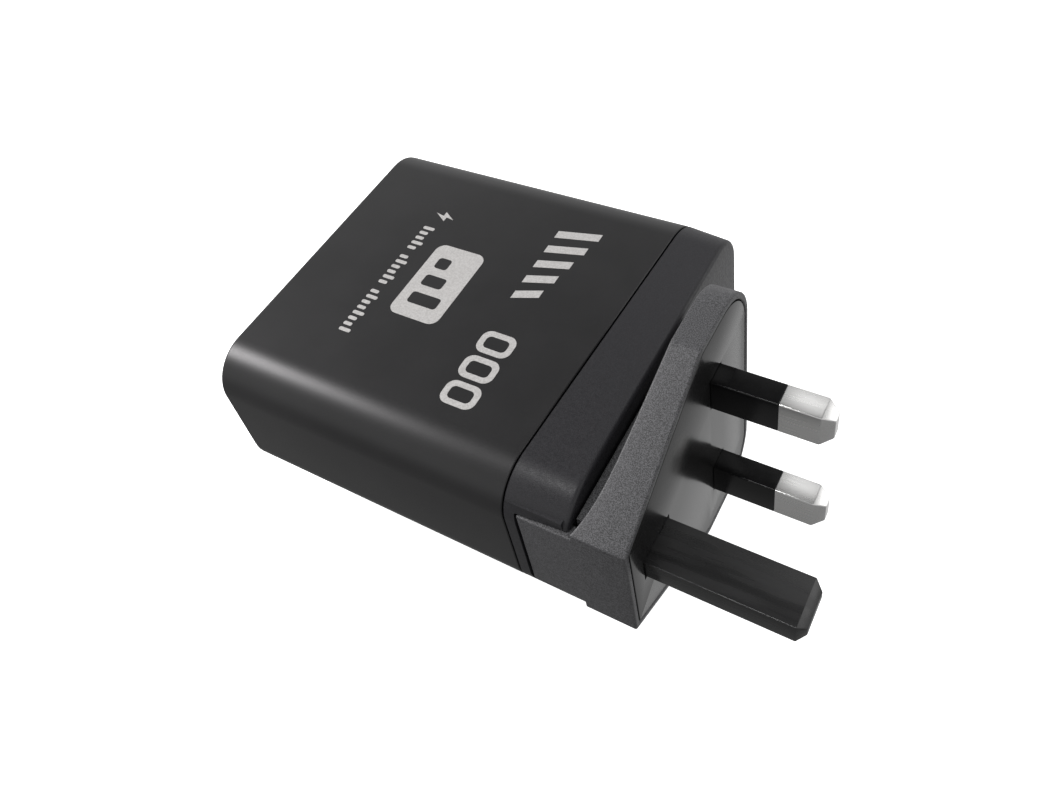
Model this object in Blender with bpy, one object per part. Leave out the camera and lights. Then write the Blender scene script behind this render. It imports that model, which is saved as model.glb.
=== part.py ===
"""Laptop power adapter with a slide-off British (BS 1363) plug head.

Frame: the origin is midway between the line and neutral pins, on the face they stand out of.
+X points out along the pins, +Y points away from the earth pin, +Z is the printed face's side.
All driving sizes below are in millimetres, and every mesh is built in metres.
"""
from math import cos, pi, radians, sin, sqrt, tan

import bmesh
import bpy
from mathutils import Vector

MM = 0.001

# ---- clearances and cutters ---------------------------------------------------------------
GAP = 0.3               # between pieces that touch or slide on each other
OVERRUN = 1.0           # how far a cutter reaches past the face it opens
SINK = 0.1              # how far one cutter reaches into the next
MERGE = 0.001           # outline points closer than this are one point

# ---- housing: sleeve and end cap ----------------------------------------------------------
BODY_LENGTH = 66.4      # USB end to the cap's end face
BODY_WIDTH = 62.0
BODY_THICKNESS = 29.2
EDGE_RADIUS = 7.5       # the four long edges
WALL = 2.0
CAP_LENGTH = 9.0        # parting line to the cap's end face, on the centre line
SEAM_SKEW = 0.045       # the parting line runs slightly aslant: X gained per Y
CAP_TAPER = 0.6         # each side draws in by this much between seam and end face
CAP_END_WALL = 2.0
LIP_LENGTH = 4.0        # the cap's lip inside the sleeve
LIP_WALL = 1.5
END_FILLET = 0.8

# ---- port panel and USB-C socket ----------------------------------------------------------
PANEL_THICKNESS = 1.6
PANEL_LEDGE = 1.5       # how far the ledge behind the panel stands in
PANEL_LEDGE_DEPTH = 1.2
PORT_WIDTH = 8.94
PORT_HEIGHT = 3.26
PORT_SHEET = 0.3        # thickness of the socket's steel
PORT_LENGTH = 7.3
TONGUE_WIDTH = 6.7
TONGUE_THICKNESS = 0.7
TONGUE_SETBACK = 0.9    # the tongue's tip behind the socket's mouth
PORT_BASE = 1.7         # plastic at the back of the socket

# ---- pins of the standard -----------------------------------------------------------------
PIN_SPACING = 22.2      # line to neutral, centre to centre
EARTH_OFFSET = 22.2     # earth pin's centre from the line through the other two
POWER_PIN_WIDTH = 6.35
PIN_THICKNESS = 4.0
POWER_PIN_LENGTH = 17.7
EARTH_PIN_WIDTH = 8.0
EARTH_PIN_LENGTH = 22.7
PIN_SLEEVE_END = 9.8
PIN_SLEEVE_WALL = 0.5
PIN_TIP_LENGTH = 1.7
PIN_TIP_INSET = 1.1
EARTH_TIP_LENGTH = 1.2
PIN_FLANGE = 0.8        # thickness and overhang of the flange behind the pin plate

# ---- slide rail and contacts --------------------------------------------------------------
NECK_DEPTH = 4.1        # the head's back wall to the neck's face
SLOT_BACKING = 0.8      # plastic between the slots and the head's back wall
RAIL_STEM_HALF = 2.7
RAIL_HEAD_HALF = 4.6
RAIL_STEM = 1.8         # height of the rail's stem
RAIL_STOP = 4.0         # closed end of the neck's slot, at the earth end
RAIL_FAR_Y = 6.0
BLADE_Z = 7.6
BLADE_THICKNESS = 0.8
BLADE_WIDTH = 8.0
BLADE_FLANGE = 4.0
SPRING_SHEET = 0.5
SPRING_WIDTH = 6.0
LEAF_SETBACK = 0.5      # the spring leaves end this far inside the neck's face
CHANNEL_ROOM = 0.45     # between a leaf and the side of its channel

# ---- plug head ----------------------------------------------------------------------------
HEAD_HALF_WIDTH = 24.3
HEAD_EARTH_HALF = 10.5  # half width at the earth end
HEAD_SETBACK = 0.2      # the earth end behind the housing's side
HEAD_BREAK_Y = -4.5     # where the slanting sides start
HEAD_BREAK_RADIUS = 3.0
HEAD_FAR_Y = 12.7
HEAD_FAR_RADIUS = 9.5
HEAD_FLOOR = 1.0        # wall behind the contact springs
SCALLOP_SLOPE = 1.9     # extra thickness gained evenly along the slanting sides
SCALLOP_SWEEP = 2.0     # extra thickness of the sweep at the earth end
SCALLOP_POWER = 6
RIM_WIDTH = 1.1
PLATE_THICKNESS = 1.4
PLATE_LEDGE = 1.4
NECK_WALL = 1.15        # outside the contact channels
NECK_SETBACK = 2.8      # the neck's end behind the head's earth end
NECK_OVERHANG = 5.0     # the neck past the rail's far end
FOOT_SETBACK = 1.3      # the foot is this much narrower than the earth end, each side
FOOT_SEAM_WALL = 0.5    # cap left between the foot's recess and the parting line
FOOT_THICKNESS = 2.4
FOOT_STEP = 0.05        # keeps the foot's face just behind the head's end face
FOOT_PAD_WALL = 1.5

# ---- boards -------------------------------------------------------------------------------
BOARD_THICKNESS = 1.6
BOARD_ROOM = 0.85       # board edge to the sleeve's inside
BOARD_LEDGE_ROOM = 0.6  # board to the ledge behind the port panel
BOARD_LIP_ROOM = 1.3    # board to the end cap's lip
FILM_THICKNESS = 0.4
FILM_ROOM = 0.6         # film to the board's solder side
CARD_THICKNESS = 1.2
CARD_WIDTH = 26.0
CARD_TOP_ROOM = 4.0     # card to the heat spreader
TOP_PLATE_THICKNESS = 0.6
TOP_PLATE_ROOM = 0.4    # heat spreader to the sleeve's inside
TOP_PLATE_MARGIN = 1.0  # heat spreader shorter than the board, each end

# ---- parts on the USB card: size, and centre (Y, Z) -----------------------------------------
RECTIFIER_SIZE = (1.1, 6.0, 5.0)
RECTIFIER_CENTRE = (-5.5, 0.5)
CONTROLLER_SIZE = (0.9, 4.5, 4.5)
CONTROLLER_CENTRE = (5.75, 0.75)

# ---- parts on the main board: sizes, and the room left between neighbours -----------------------
OUTPUT_RADIUS = 3.6
OUTPUT_LENGTH = 11.5
OUTPUT_RIM = 0.5
OUTPUT_END_ROOM = 1.2   # to the board's USB end
OUTPUT_CARD_ROOM = 1.9  # to the USB card's side
TRANSFORMER_SIZE = (17.0, 23.0)
TRANSFORMER_ROOM = 0.8  # to the output capacitors
TRANSFORMER_Y = 7.0
CORE_LEG = 4.0          # thickness of the ferrite's backs and outer legs
CORE_HEIGHT = 15.0
CORE_POST = 8.0         # side of the middle leg
CORE_LEG_RELIEF = 0.01  # legs stop this far inside the back's side faces
BOBBIN_WALL = 0.8
PAD_MARGIN = (1.0, 2.5)  # thermal pad inside the transformer's outline, X and Y
Y_CAPACITOR_RADIUS = 3.8
Y_CAPACITOR_THICKNESS = 3.2
Y_CAPACITOR_RIM = 0.6
MAINS_END_ROOM = 2.0    # fuse, choke, X capacitor and rectifier to the board's mains end
SIDE_ROOM = 1.1         # fuse, thermistor and Y capacitor to the board's side edge
FUSE_SIZE = (8.4, 4.2, 7.6)
THERMISTOR_RADIUS = 4.2
THERMISTOR_THICKNESS = 3.6
THERMISTOR_RIM = 0.5
THERMISTOR_ROOM = 2.6   # to the fuse
BRIDGE_SIZE = (9.0, 9.0, 2.6)
BRIDGE_SIDE_ROOM = 1.7
ROW_ROOM = 1.8          # rectifier to X capacitor, and X capacitor to choke
X_CAPACITOR_SIZE = (6.4, 13.5, 12.0)
CHOKE_RADIUS = 6.0      # outside of the ferrite ring
CHOKE_BORE = 3.6
CHOKE_HEIGHT = 5.0
CHOKE_WIRE = 1.4        # thickness of the winding over the ring
CHOKE_WINDING_ANGLE = 130
CHOKE_END_ROOM = 8      # degrees that the ring's room runs past each winding
BULK_RADIUS = 5.2
BULK_TOP_ROOM = 1.4     # capacitor to the heat spreader
BULK_RIM = 0.6
BULK_BRIDGE_ROOM = 1.3
BULK_SIDE_ROOM = 1.2
BULK_X_ROOM = 0.6       # to the X capacitor
BULK_PAIR_ROOM = 2.4    # across the board, between the two of them
HEAT_PLATE_SIZE = (10.0, 14.0, 1.0)
HEAT_PLATE_ROOM = 1.3   # to the first bulk capacitor
HEAT_PLATE_Y = -15.0
SWITCH_SIZE = (8.0, 6.0, 1.1)
CASE_BEVEL = 0.4        # moulded cases of fuse and X capacitor
BRIDGE_BEVEL = 0.3

# ---- leads from the blades to the board ---------------------------------------------------------
LEAD_RADIUS = 0.7
LEAD_LAND_BACK = 0.9    # lead's end, from the board's mains end
LEAD_LAND_Y = 12.0
LEAD_LAND_SHIFT = 1.0
LEAD_LAND_LIFT = 0.2
LEAD_LEAVE = 6.0        # how far a lead runs on from the blade before it turns
LEAD_DROP = (4.0, 9.0)  # how it comes in over its land: X and Z

# ---- how finely curves are divided -----------------------------------------------------------------
CORNER_STEPS = 6
PORT_STEPS = 5
ROUND_STEPS = 24
SWEEP_STEPS = 10
SWEEP_CROWDING = 1.6    # crowds the sweep's divisions towards the earth end
FAR_CORNER_STEPS = 8
COIL_STEPS = 10
LEAD_STEPS = 14

# ---- places that follow from the sizes above --------------------------------------------------------
HALF_WIDTH = BODY_WIDTH / 2
HALF_THICKNESS = BODY_THICKNESS / 2
PIN_Z = PIN_SPACING / 2
FLANGE_X = -PLATE_THICKNESS - GAP
SPRING_BASE_X = FLANGE_X - PIN_FLANGE - GAP
CAVITY_X = SPRING_BASE_X - SPRING_SHEET - GAP
HEAD_THICKNESS = HEAD_FLOOR - CAVITY_X
NECK_BACK_X = -HEAD_THICKNESS - NECK_DEPTH
CAP_END_X = NECK_BACK_X - GAP
SEAM_X = CAP_END_X - CAP_LENGTH
LIP_END_X = SEAM_X - LIP_LENGTH
USB_END_X = CAP_END_X - BODY_LENGTH
PANEL_BACK_X = USB_END_X + PANEL_THICKNESS
LEDGE_X = PANEL_BACK_X + GAP
LEDGE_END_X = LEDGE_X + PANEL_LEDGE_DEPTH
STANDOUT = NECK_DEPTH - SLOT_BACKING    # of the rail and the blades, from the cap's end face
RAIL_TOP_X = CAP_END_X + STANDOUT
CHANNEL_X = RAIL_TOP_X + GAP
CHANNEL_INNER = BLADE_Z - BLADE_THICKNESS / 2 - GAP - SPRING_SHEET - CHANNEL_ROOM
CHANNEL_OUTER = BLADE_Z + BLADE_THICKNESS / 2 + GAP + SPRING_SHEET + CHANNEL_ROOM
HEAD_EARTH_Y = HEAD_SETBACK - HALF_WIDTH
NECK_HALF_WIDTH = CHANNEL_OUTER + NECK_WALL
NECK_EARTH_Y = HEAD_EARTH_Y + NECK_SETBACK
NECK_FAR_Y = RAIL_FAR_Y + NECK_OVERHANG
RAIL_EARTH_Y = NECK_EARTH_Y + RAIL_STOP
FOOT_HALF_WIDTH = HEAD_EARTH_HALF - FOOT_SETBACK
RECESS_X = SEAM_X + FOOT_SEAM_WALL
FILM_Z = -HALF_THICKNESS + WALL + GAP
BOARD_UNDER_Z = FILM_Z + FILM_THICKNESS + FILM_ROOM
BOARD_Z = BOARD_UNDER_Z + BOARD_THICKNESS
SEAT_Z = BOARD_Z + GAP
BOARD_USB_X = LEDGE_END_X + BOARD_LEDGE_ROOM
BOARD_CAP_X = LIP_END_X - BOARD_LIP_ROOM
TOP_PLATE_Z = HALF_THICKNESS - WALL - TOP_PLATE_ROOM - TOP_PLATE_THICKNESS
FLAT_HALF_WIDTH = HALF_WIDTH - WALL - EDGE_RADIUS   # flat part of the sleeve's inside
CARD_X = USB_END_X + GAP + PORT_LENGTH + GAP


def inner_half_width(z):
    """Half width of the sleeve's inside at height z, between its rounded corners."""
    radius = EDGE_RADIUS - WALL
    into_corner = max(abs(z) - (HALF_THICKNESS - EDGE_RADIUS), 0.0)
    return HALF_WIDTH - EDGE_RADIUS + sqrt(radius ** 2 - into_corner ** 2)


BOARD_HALF_WIDTH = inner_half_width(BOARD_UNDER_Z) - BOARD_ROOM
OUTPUT_X = BOARD_USB_X + OUTPUT_END_ROOM + OUTPUT_RADIUS
OUTPUT_Y = CARD_WIDTH / 2 + OUTPUT_CARD_ROOM + OUTPUT_RADIUS
TRANSFORMER_X = OUTPUT_X + OUTPUT_RADIUS + TRANSFORMER_ROOM + TRANSFORMER_SIZE[0] / 2
MAINS_ROW_X = BOARD_CAP_X - MAINS_END_ROOM
SIDE_ROW_Y = BOARD_HALF_WIDTH - SIDE_ROOM
THERMISTOR_X = MAINS_ROW_X - FUSE_SIZE[0] - THERMISTOR_ROOM - THERMISTOR_RADIUS
BRIDGE_Y = BRIDGE_SIDE_ROOM + BRIDGE_SIZE[1] / 2 - BOARD_HALF_WIDTH
X_CAPACITOR_Y = BRIDGE_Y + BRIDGE_SIZE[1] / 2 + ROW_ROOM + X_CAPACITOR_SIZE[1] / 2
CHOKE_REACH = CHOKE_RADIUS + GAP + CHOKE_WIRE
CHOKE_Y = X_CAPACITOR_Y + X_CAPACITOR_SIZE[1] / 2 + ROW_ROOM + CHOKE_REACH
BULK_1_X = MAINS_ROW_X - BRIDGE_SIZE[0] - BULK_BRIDGE_ROOM - BULK_RADIUS
BULK_1_Y = BULK_SIDE_ROOM + BULK_RADIUS - BOARD_HALF_WIDTH
BULK_2_Y = BULK_1_Y + 2 * BULK_RADIUS + BULK_PAIR_ROOM
BULK_2_X = MAINS_ROW_X - X_CAPACITOR_SIZE[0] - BULK_X_ROOM - BULK_RADIUS
HEAT_PLATE_X = BULK_1_X - BULK_RADIUS - HEAT_PLATE_ROOM - HEAT_PLATE_SIZE[0] / 2


# ---- scene and materials ------------------------------------------------------------------
def clear_scene():
    for thing in list(bpy.data.objects):
        bpy.data.objects.remove(thing, do_unlink=True)


def material(name, colour, roughness, metallic=0.0):
    made = bpy.data.materials.get(name)
    if made is None:
        made = bpy.data.materials.new(name)
        made.use_nodes = True
        shader = made.node_tree.nodes["Principled BSDF"]
        shader.inputs["Base Color"].default_value = (*colour, 1.0)
        shader.inputs["Roughness"].default_value = roughness
        shader.inputs["Metallic"].default_value = metallic
    return made


def satin_black():
    return material("satin_black", (0.022, 0.021, 0.023), 0.38)


def textured_black():
    return material("textured_black", (0.032, 0.031, 0.036), 0.5)


def matte_black():
    return material("matte_black", (0.040, 0.040, 0.041), 0.55)


def gloss_black():
    return material("gloss_black", (0.008, 0.008, 0.009), 0.22)


def nickel():
    return material("nickel", (0.66, 0.65, 0.63), 0.28, 1.0)


def brass():
    return material("brass", (0.72, 0.52, 0.22), 0.3, 1.0)


def steel():
    return material("steel", (0.60, 0.61, 0.62), 0.3, 1.0)


def copper():
    return material("copper", (0.72, 0.34, 0.20), 0.35, 1.0)


def aluminium():
    return material("aluminium", (0.70, 0.70, 0.71), 0.35, 1.0)


def board_green():
    return material("board_green", (0.02, 0.12, 0.05), 0.45)


def ferrite():
    return material("ferrite", (0.05, 0.05, 0.055), 0.6)


def nylon_cream():
    return material("nylon_cream", (0.62, 0.58, 0.47), 0.5)


def tape_yellow():
    return material("tape_yellow", (0.70, 0.52, 0.06), 0.4)


def film_grey():
    return material("film_grey", (0.30, 0.31, 0.33), 0.45)


def capacitor_blue():
    return material("capacitor_blue", (0.02, 0.10, 0.36), 0.4)


def epoxy_black():
    return material("epoxy_black", (0.015, 0.015, 0.016), 0.45)


def pad_pink():
    return material("pad_pink", (0.55, 0.33, 0.36), 0.7)


def wire_red():
    return material("wire_red", (0.45, 0.04, 0.03), 0.45)


# ---- outlines in the YZ plane, counter-clockwise seen from +X --------------------------------
def inset(corners, depth):
    """Move every side of a convex outline of (y, z, radius) corners in by depth."""
    moved = []
    count = len(corners)
    for index in range(count):
        before = Vector(corners[index - 1][:2])
        here = Vector(corners[index][:2])
        after = Vector(corners[(index + 1) % count][:2])
        along_in = (here - before).normalized()
        along_out = (after - here).normalized()
        normal_in = Vector((-along_in.y, along_in.x))
        normal_out = Vector((-along_out.y, along_out.x))
        mitre = (normal_in + normal_out) / (1 + normal_in.dot(normal_out))
        spot = here + depth * mitre
        moved.append((spot.x, spot.y, max(corners[index][2] - depth, 0.0)))
    return moved


def filleted(corners, steps=CORNER_STEPS):
    """Turn (y, z, radius) corners into outline points, with an arc at each rounded corner.

    Arcs that end where the next one starts, as in a stadium, share that one point.
    """
    points = []
    count = len(corners)
    for index in range(count):
        here = Vector(corners[index][:2])
        radius = corners[index][2]
        if radius <= 0:
            points.append((here.x, here.y))
            continue
        to_before = (Vector(corners[index - 1][:2]) - here).normalized()
        to_after = (Vector(corners[(index + 1) % count][:2]) - here).normalized()
        half_angle = to_before.angle(to_after) / 2
        centre = here + (to_before + to_after).normalized() * radius / sin(half_angle)
        turn = pi - 2 * half_angle
        start = here + to_before * (radius / tan(half_angle)) - centre
        for step in range(steps + 1):
            angle = turn * step / steps
            spot = centre + Vector((start.x * cos(angle) - start.y * sin(angle),
                                    start.x * sin(angle) + start.y * cos(angle)))
            points.append((spot.x, spot.y))
    return [point for index, point in enumerate(points)
            if (Vector(point) - Vector(points[index - 1])).length > MERGE]


def rectangle(half_y, half_z, radius):
    return [(half_y, half_z, radius), (-half_y, half_z, radius),
            (-half_y, -half_z, radius), (half_y, -half_z, radius)]


def body_outline(depth=0.0):
    """The housing's section, drawn in by depth."""
    return filleted(inset(rectangle(HALF_WIDTH, HALF_THICKNESS, EDGE_RADIUS), depth))


def head_corners():
    """The plug head's keystone outline: narrow at the earth pin, wide at the other two."""
    return [(HEAD_EARTH_Y, -HEAD_EARTH_HALF, 0.0),
            (HEAD_BREAK_Y, -HEAD_HALF_WIDTH, HEAD_BREAK_RADIUS),
            (HEAD_FAR_Y, -HEAD_HALF_WIDTH, HEAD_FAR_RADIUS),
            (HEAD_FAR_Y, HEAD_HALF_WIDTH, HEAD_FAR_RADIUS),
            (HEAD_BREAK_Y, HEAD_HALF_WIDTH, HEAD_BREAK_RADIUS),
            (HEAD_EARTH_Y, HEAD_EARTH_HALF, 0.0)]


# ---- mesh building --------------------------------------------------------------------------
def finish_mesh(name, mesh_data, look, location=(0, 0, 0), parent=None, smooth=False):
    """Turn bmesh geometry in millimetres into a named object."""
    bmesh.ops.scale(mesh_data, vec=(MM, MM, MM), verts=mesh_data.verts)
    bmesh.ops.recalc_face_normals(mesh_data, faces=mesh_data.faces)
    mesh = bpy.data.meshes.new(name)
    mesh_data.to_mesh(mesh)
    mesh_data.free()
    if smooth:
        mesh.shade_smooth()
        mesh.set_sharp_from_angle(angle=radians(35))
    if look is not None:
        mesh.materials.append(look)
    made = bpy.data.objects.new(name, mesh)
    made.location = Vector(location) * MM
    made.parent = parent
    bpy.context.scene.collection.objects.link(made)
    return made


def block(name, size, centre, look, parent=None, bevel=0.0):
    data = bmesh.new()
    bmesh.ops.create_cube(data, size=1.0)
    bmesh.ops.scale(data, vec=size, verts=data.verts)
    made = finish_mesh(name, data, look, centre, parent)
    if bevel:
        edge = made.modifiers.new("edges", "BEVEL")
        edge.width = bevel * MM
        edge.segments = 2
    return made


def span(low, high):
    """Size and centre of the box between two corners."""
    size = [b - a for a, b in zip(low, high)]
    centre = [(a + b) / 2 for a, b in zip(low, high)]
    return size, centre


def block_between(name, low, high, look, parent=None, bevel=0.0):
    size, centre = span(low, high)
    return block(name, size, centre, look, parent, bevel)


def loft(name, rings, look, parent=None, closed=False, location=(0, 0, 0)):
    """Skin equal rings of 3-D points; a closed loft joins the last ring to the first."""
    data = bmesh.new()
    rows = [[data.verts.new(point) for point in ring] for ring in rings]
    count = len(rows[0])
    pairs = list(zip(rows, rows[1:]))
    if closed:
        pairs.append((rows[-1], rows[0]))
    for row, following in pairs:
        for index in range(count):
            beside = (index + 1) % count
            data.faces.new((row[index], row[beside], following[beside], following[index]))
    if not closed:
        data.faces.new(rows[0])
        data.faces.new(rows[-1])
    return finish_mesh(name, data, look, location, parent, smooth=True)


def ring_at(x, outline, skew=0.0):
    return [(x + skew * y, y, z) for y, z in outline]


def prism(name, outline, x_low, x_high, look=None, parent=None, location=(0, 0, 0)):
    return loft(name, [ring_at(x_low, outline), ring_at(x_high, outline)], look, parent,
                location=location)


def turned(name, radius, length, centre, axis, look, parent=None, rim=0.0):
    """A cylinder whose two rims are rounded off by a small chamfer."""
    stations = [(-length / 2, radius - rim), (-length / 2 + rim, radius),
                (length / 2 - rim, radius), (length / 2, radius - rim)]
    if not rim:
        stations = [(-length / 2, radius), (length / 2, radius)]
    rings = []
    for along, size in stations:
        ring = []
        for step in range(ROUND_STEPS):
            angle = 2 * pi * step / ROUND_STEPS
            across = (size * cos(angle), size * sin(angle))
            spot = {"X": (along, *across), "Y": (across[1], along, across[0]),
                    "Z": (*across, along)}[axis]
            ring.append(spot)
        rings.append(ring)
    return loft(name, rings, look, parent, location=centre)


def tool(shape):
    """Mark a shape as a cutter or an addition that is only used by Booleans."""
    shape.hide_render = True
    shape.display_type = "WIRE"
    return shape


def combine(target, other, operation):
    step = target.modifiers.new(operation.lower(), "BOOLEAN")
    step.operation = operation
    step.object = tool(other)
    step.solver = "EXACT"


def cut(target, cutter):
    combine(target, cutter, "DIFFERENCE")


def add(target, addition):
    combine(target, addition, "UNION")


def group(name):
    """An empty that carries one rigid group of pieces."""
    empty = bpy.data.objects.new(name, None)
    bpy.context.scene.collection.objects.link(empty)
    return empty


# ---- housing ----------------------------------------------------------------------------------
def make_sleeve(parent):
    """Open tube with rounded long edges; a ledge inside its USB end backs the port panel."""
    seam = SEAM_X - GAP / 2
    ledge = WALL + PANEL_LEDGE
    soft = END_FILLET * (1 - cos(pi / 4))
    rings = [
        ring_at(seam, body_outline(), SEAM_SKEW),
        ring_at(USB_END_X + END_FILLET, body_outline()),
        ring_at(USB_END_X + soft, body_outline(soft)),
        ring_at(USB_END_X, body_outline(END_FILLET)),
        ring_at(USB_END_X, body_outline(WALL)),
        ring_at(LEDGE_X, body_outline(WALL)),
        ring_at(LEDGE_X, body_outline(ledge)),
        ring_at(LEDGE_END_X, body_outline(ledge)),
        ring_at(LEDGE_END_X, body_outline(WALL)),
        ring_at(seam, body_outline(WALL), SEAM_SKEW),
    ]
    return loft("body_sleeve", rings, satin_black(), parent, closed=True)


def stadium(half_y, half_z):
    return filleted(rectangle(half_y, half_z, half_z), steps=PORT_STEPS)


def make_port_panel(parent):
    panel = prism("port_panel", body_outline(WALL + GAP), USB_END_X, PANEL_BACK_X,
                  gloss_black(), parent)
    hole = stadium(PORT_WIDTH / 2 + GAP, PORT_HEIGHT / 2 + GAP)
    cut(panel, prism("port_hole", hole, USB_END_X - OVERRUN, PANEL_BACK_X + OVERRUN))


def make_usb_socket(parent):
    """Steel shell, open to the outside, and the plastic tongue that it surrounds."""
    mouth = USB_END_X + GAP
    back = mouth + PORT_LENGTH
    outer = stadium(PORT_WIDTH / 2, PORT_HEIGHT / 2)
    inner = stadium(PORT_WIDTH / 2 - PORT_SHEET, PORT_HEIGHT / 2 - PORT_SHEET)
    rings = [ring_at(mouth, outer), ring_at(back, outer), ring_at(back, inner),
             ring_at(mouth, inner)]
    loft("usb_c_shell", rings, steel(), parent, closed=True)
    room = PORT_SHEET + GAP
    base = stadium(PORT_WIDTH / 2 - room, PORT_HEIGHT / 2 - room)
    tongue = prism("usb_c_tongue", base, back - PORT_BASE, back, epoxy_black(), parent)
    half_width = TONGUE_WIDTH / 2
    half_thickness = TONGUE_THICKNESS / 2
    add(tongue, block_between("tongue_blade",
                              (mouth + TONGUE_SETBACK, -half_width, -half_thickness),
                              (back - PORT_BASE / 2, half_width, half_thickness), None))


def cap_rings():
    """The end cap's skin: outside from seam to end face, then inside back to the lip."""
    seam = SEAM_X + GAP / 2
    lip_outer = WALL + GAP
    lip_inner = lip_outer + LIP_WALL
    soft = END_FILLET * (1 - cos(pi / 4))
    return [
        ring_at(LIP_END_X, body_outline(lip_outer)),
        ring_at(seam, body_outline(lip_outer), SEAM_SKEW),
        ring_at(seam, body_outline(), SEAM_SKEW),
        ring_at(CAP_END_X - END_FILLET, body_outline(CAP_TAPER)),
        ring_at(CAP_END_X - soft, body_outline(CAP_TAPER + soft)),
        ring_at(CAP_END_X, body_outline(CAP_TAPER + END_FILLET)),
    ], [
        ring_at(CAP_END_X - CAP_END_WALL, body_outline(lip_inner)),
        ring_at(LIP_END_X, body_outline(lip_inner)),
    ]


def loft_cup(name, outside, inside, look, parent):
    """A cup: the outside rings end in a closed face, and so do the inside ones."""
    data = bmesh.new()
    rows = [[data.verts.new(point) for point in ring] for ring in outside + inside]
    floor_row = len(outside)
    count = len(rows[0])
    pairs = [(index, index + 1) for index in range(len(rows) - 1) if index + 1 != floor_row]
    pairs.append((len(rows) - 1, 0))
    for first, second in pairs:
        for index in range(count):
            beside = (index + 1) % count
            data.faces.new((rows[first][index], rows[first][beside],
                            rows[second][beside], rows[second][index]))
    data.faces.new(rows[floor_row - 1])
    data.faces.new(rows[floor_row])
    return finish_mesh(name, data, look, parent=parent, smooth=True)


def make_end_cap(parent):
    """Cap with the slide rail on its end face and the recess for the plug head's foot."""
    outside, inside = cap_rings()
    cap = loft_cup("end_cap", outside, inside, textured_black(), parent)
    recess_y = HEAD_EARTH_Y + FOOT_THICKNESS + GAP
    recess_half = FOOT_HALF_WIDTH + GAP
    add(cap, block_between("foot_pad",
                           (RECESS_X - FOOT_PAD_WALL, -HALF_WIDTH + WALL / 2,
                            -recess_half - FOOT_PAD_WALL),
                           (CAP_END_X - CAP_END_WALL / 2, recess_y + FOOT_PAD_WALL,
                            recess_half + FOOT_PAD_WALL), None))
    cut(cap, block_between("foot_recess", (RECESS_X, -HALF_WIDTH - OVERRUN, -recess_half),
                           (CAP_END_X + OVERRUN, recess_y, recess_half), None))
    stem_top = CAP_END_X + RAIL_STEM
    add(cap, block_between("rail_stem",
                           (CAP_END_X - CAP_END_WALL / 2, RAIL_EARTH_Y, -RAIL_STEM_HALF),
                           ((stem_top + RAIL_TOP_X) / 2, RAIL_FAR_Y, RAIL_STEM_HALF), None))
    add(cap, block_between("rail_head", (stem_top, RAIL_EARTH_Y, -RAIL_HEAD_HALF),
                           (RAIL_TOP_X, RAIL_FAR_Y, RAIL_HEAD_HALF), None))
    slot_y = BLADE_WIDTH / 2 + GAP
    slot_z = BLADE_THICKNESS / 2 + GAP
    for side in (1, -1):
        cut(cap, block("blade_slot", (3 * CAP_END_WALL, 2 * slot_y, 2 * slot_z),
                       (CAP_END_X - CAP_END_WALL / 2, 0, side * BLADE_Z), None))


def make_ac_blades(parent):
    """Flat brass blades that stand out of the cap's end face, flanged behind it."""
    flange_x = CAP_END_X - CAP_END_WALL - GAP
    for label, side in (("line", 1), ("neutral", -1)):
        size, centre = span((flange_x - BLADE_THICKNESS, -BLADE_WIDTH / 2,
                             side * BLADE_Z - BLADE_THICKNESS / 2),
                            (RAIL_TOP_X, BLADE_WIDTH / 2, side * BLADE_Z + BLADE_THICKNESS / 2))
        blade = block("ac_blade_" + label, size, centre, brass(), parent)
        flange_z = side * (BLADE_Z - BLADE_FLANGE / 2)
        add(blade, block("blade_flange", (BLADE_THICKNESS, BLADE_WIDTH, BLADE_FLANGE),
                         (flange_x - BLADE_THICKNESS / 2, 0, flange_z), None))


# ---- plug head --------------------------------------------------------------------------------
def head_half_width(y):
    """Half width of the keystone at y, with the far corners rounded."""
    corner_y = HEAD_FAR_Y - HEAD_FAR_RADIUS
    if y > corner_y:
        reach = sqrt(max(HEAD_FAR_RADIUS ** 2 - (y - corner_y) ** 2, 0.0))
        return HEAD_HALF_WIDTH - HEAD_FAR_RADIUS + reach
    if y > HEAD_BREAK_Y:
        return HEAD_HALF_WIDTH
    share = (HEAD_BREAK_Y - y) / (HEAD_BREAK_Y - HEAD_EARTH_Y)
    return HEAD_HALF_WIDTH + share * (HEAD_EARTH_HALF - HEAD_HALF_WIDTH)


def head_depth(y):
    """Thickness of the head at y: constant, then swept back towards the earth end."""
    share = max((HEAD_BREAK_Y - y) / (HEAD_BREAK_Y - HEAD_EARTH_Y), 0.0)
    return HEAD_THICKNESS + SCALLOP_SLOPE * share + SCALLOP_SWEEP * share ** SCALLOP_POWER


def head_stations():
    """Y values that resolve the sweep and the far corners."""
    sweep_length = HEAD_BREAK_Y - HEAD_EARTH_Y
    sweep = [HEAD_EARTH_Y + sweep_length * (step / SWEEP_STEPS) ** SWEEP_CROWDING
             for step in range(SWEEP_STEPS + 1)]
    corner_y = HEAD_FAR_Y - HEAD_FAR_RADIUS
    corner = [corner_y + HEAD_FAR_RADIUS * sin(pi / 2 * step / FAR_CORNER_STEPS)
              for step in range(FAR_CORNER_STEPS + 1)]
    return sweep + corner


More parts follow.
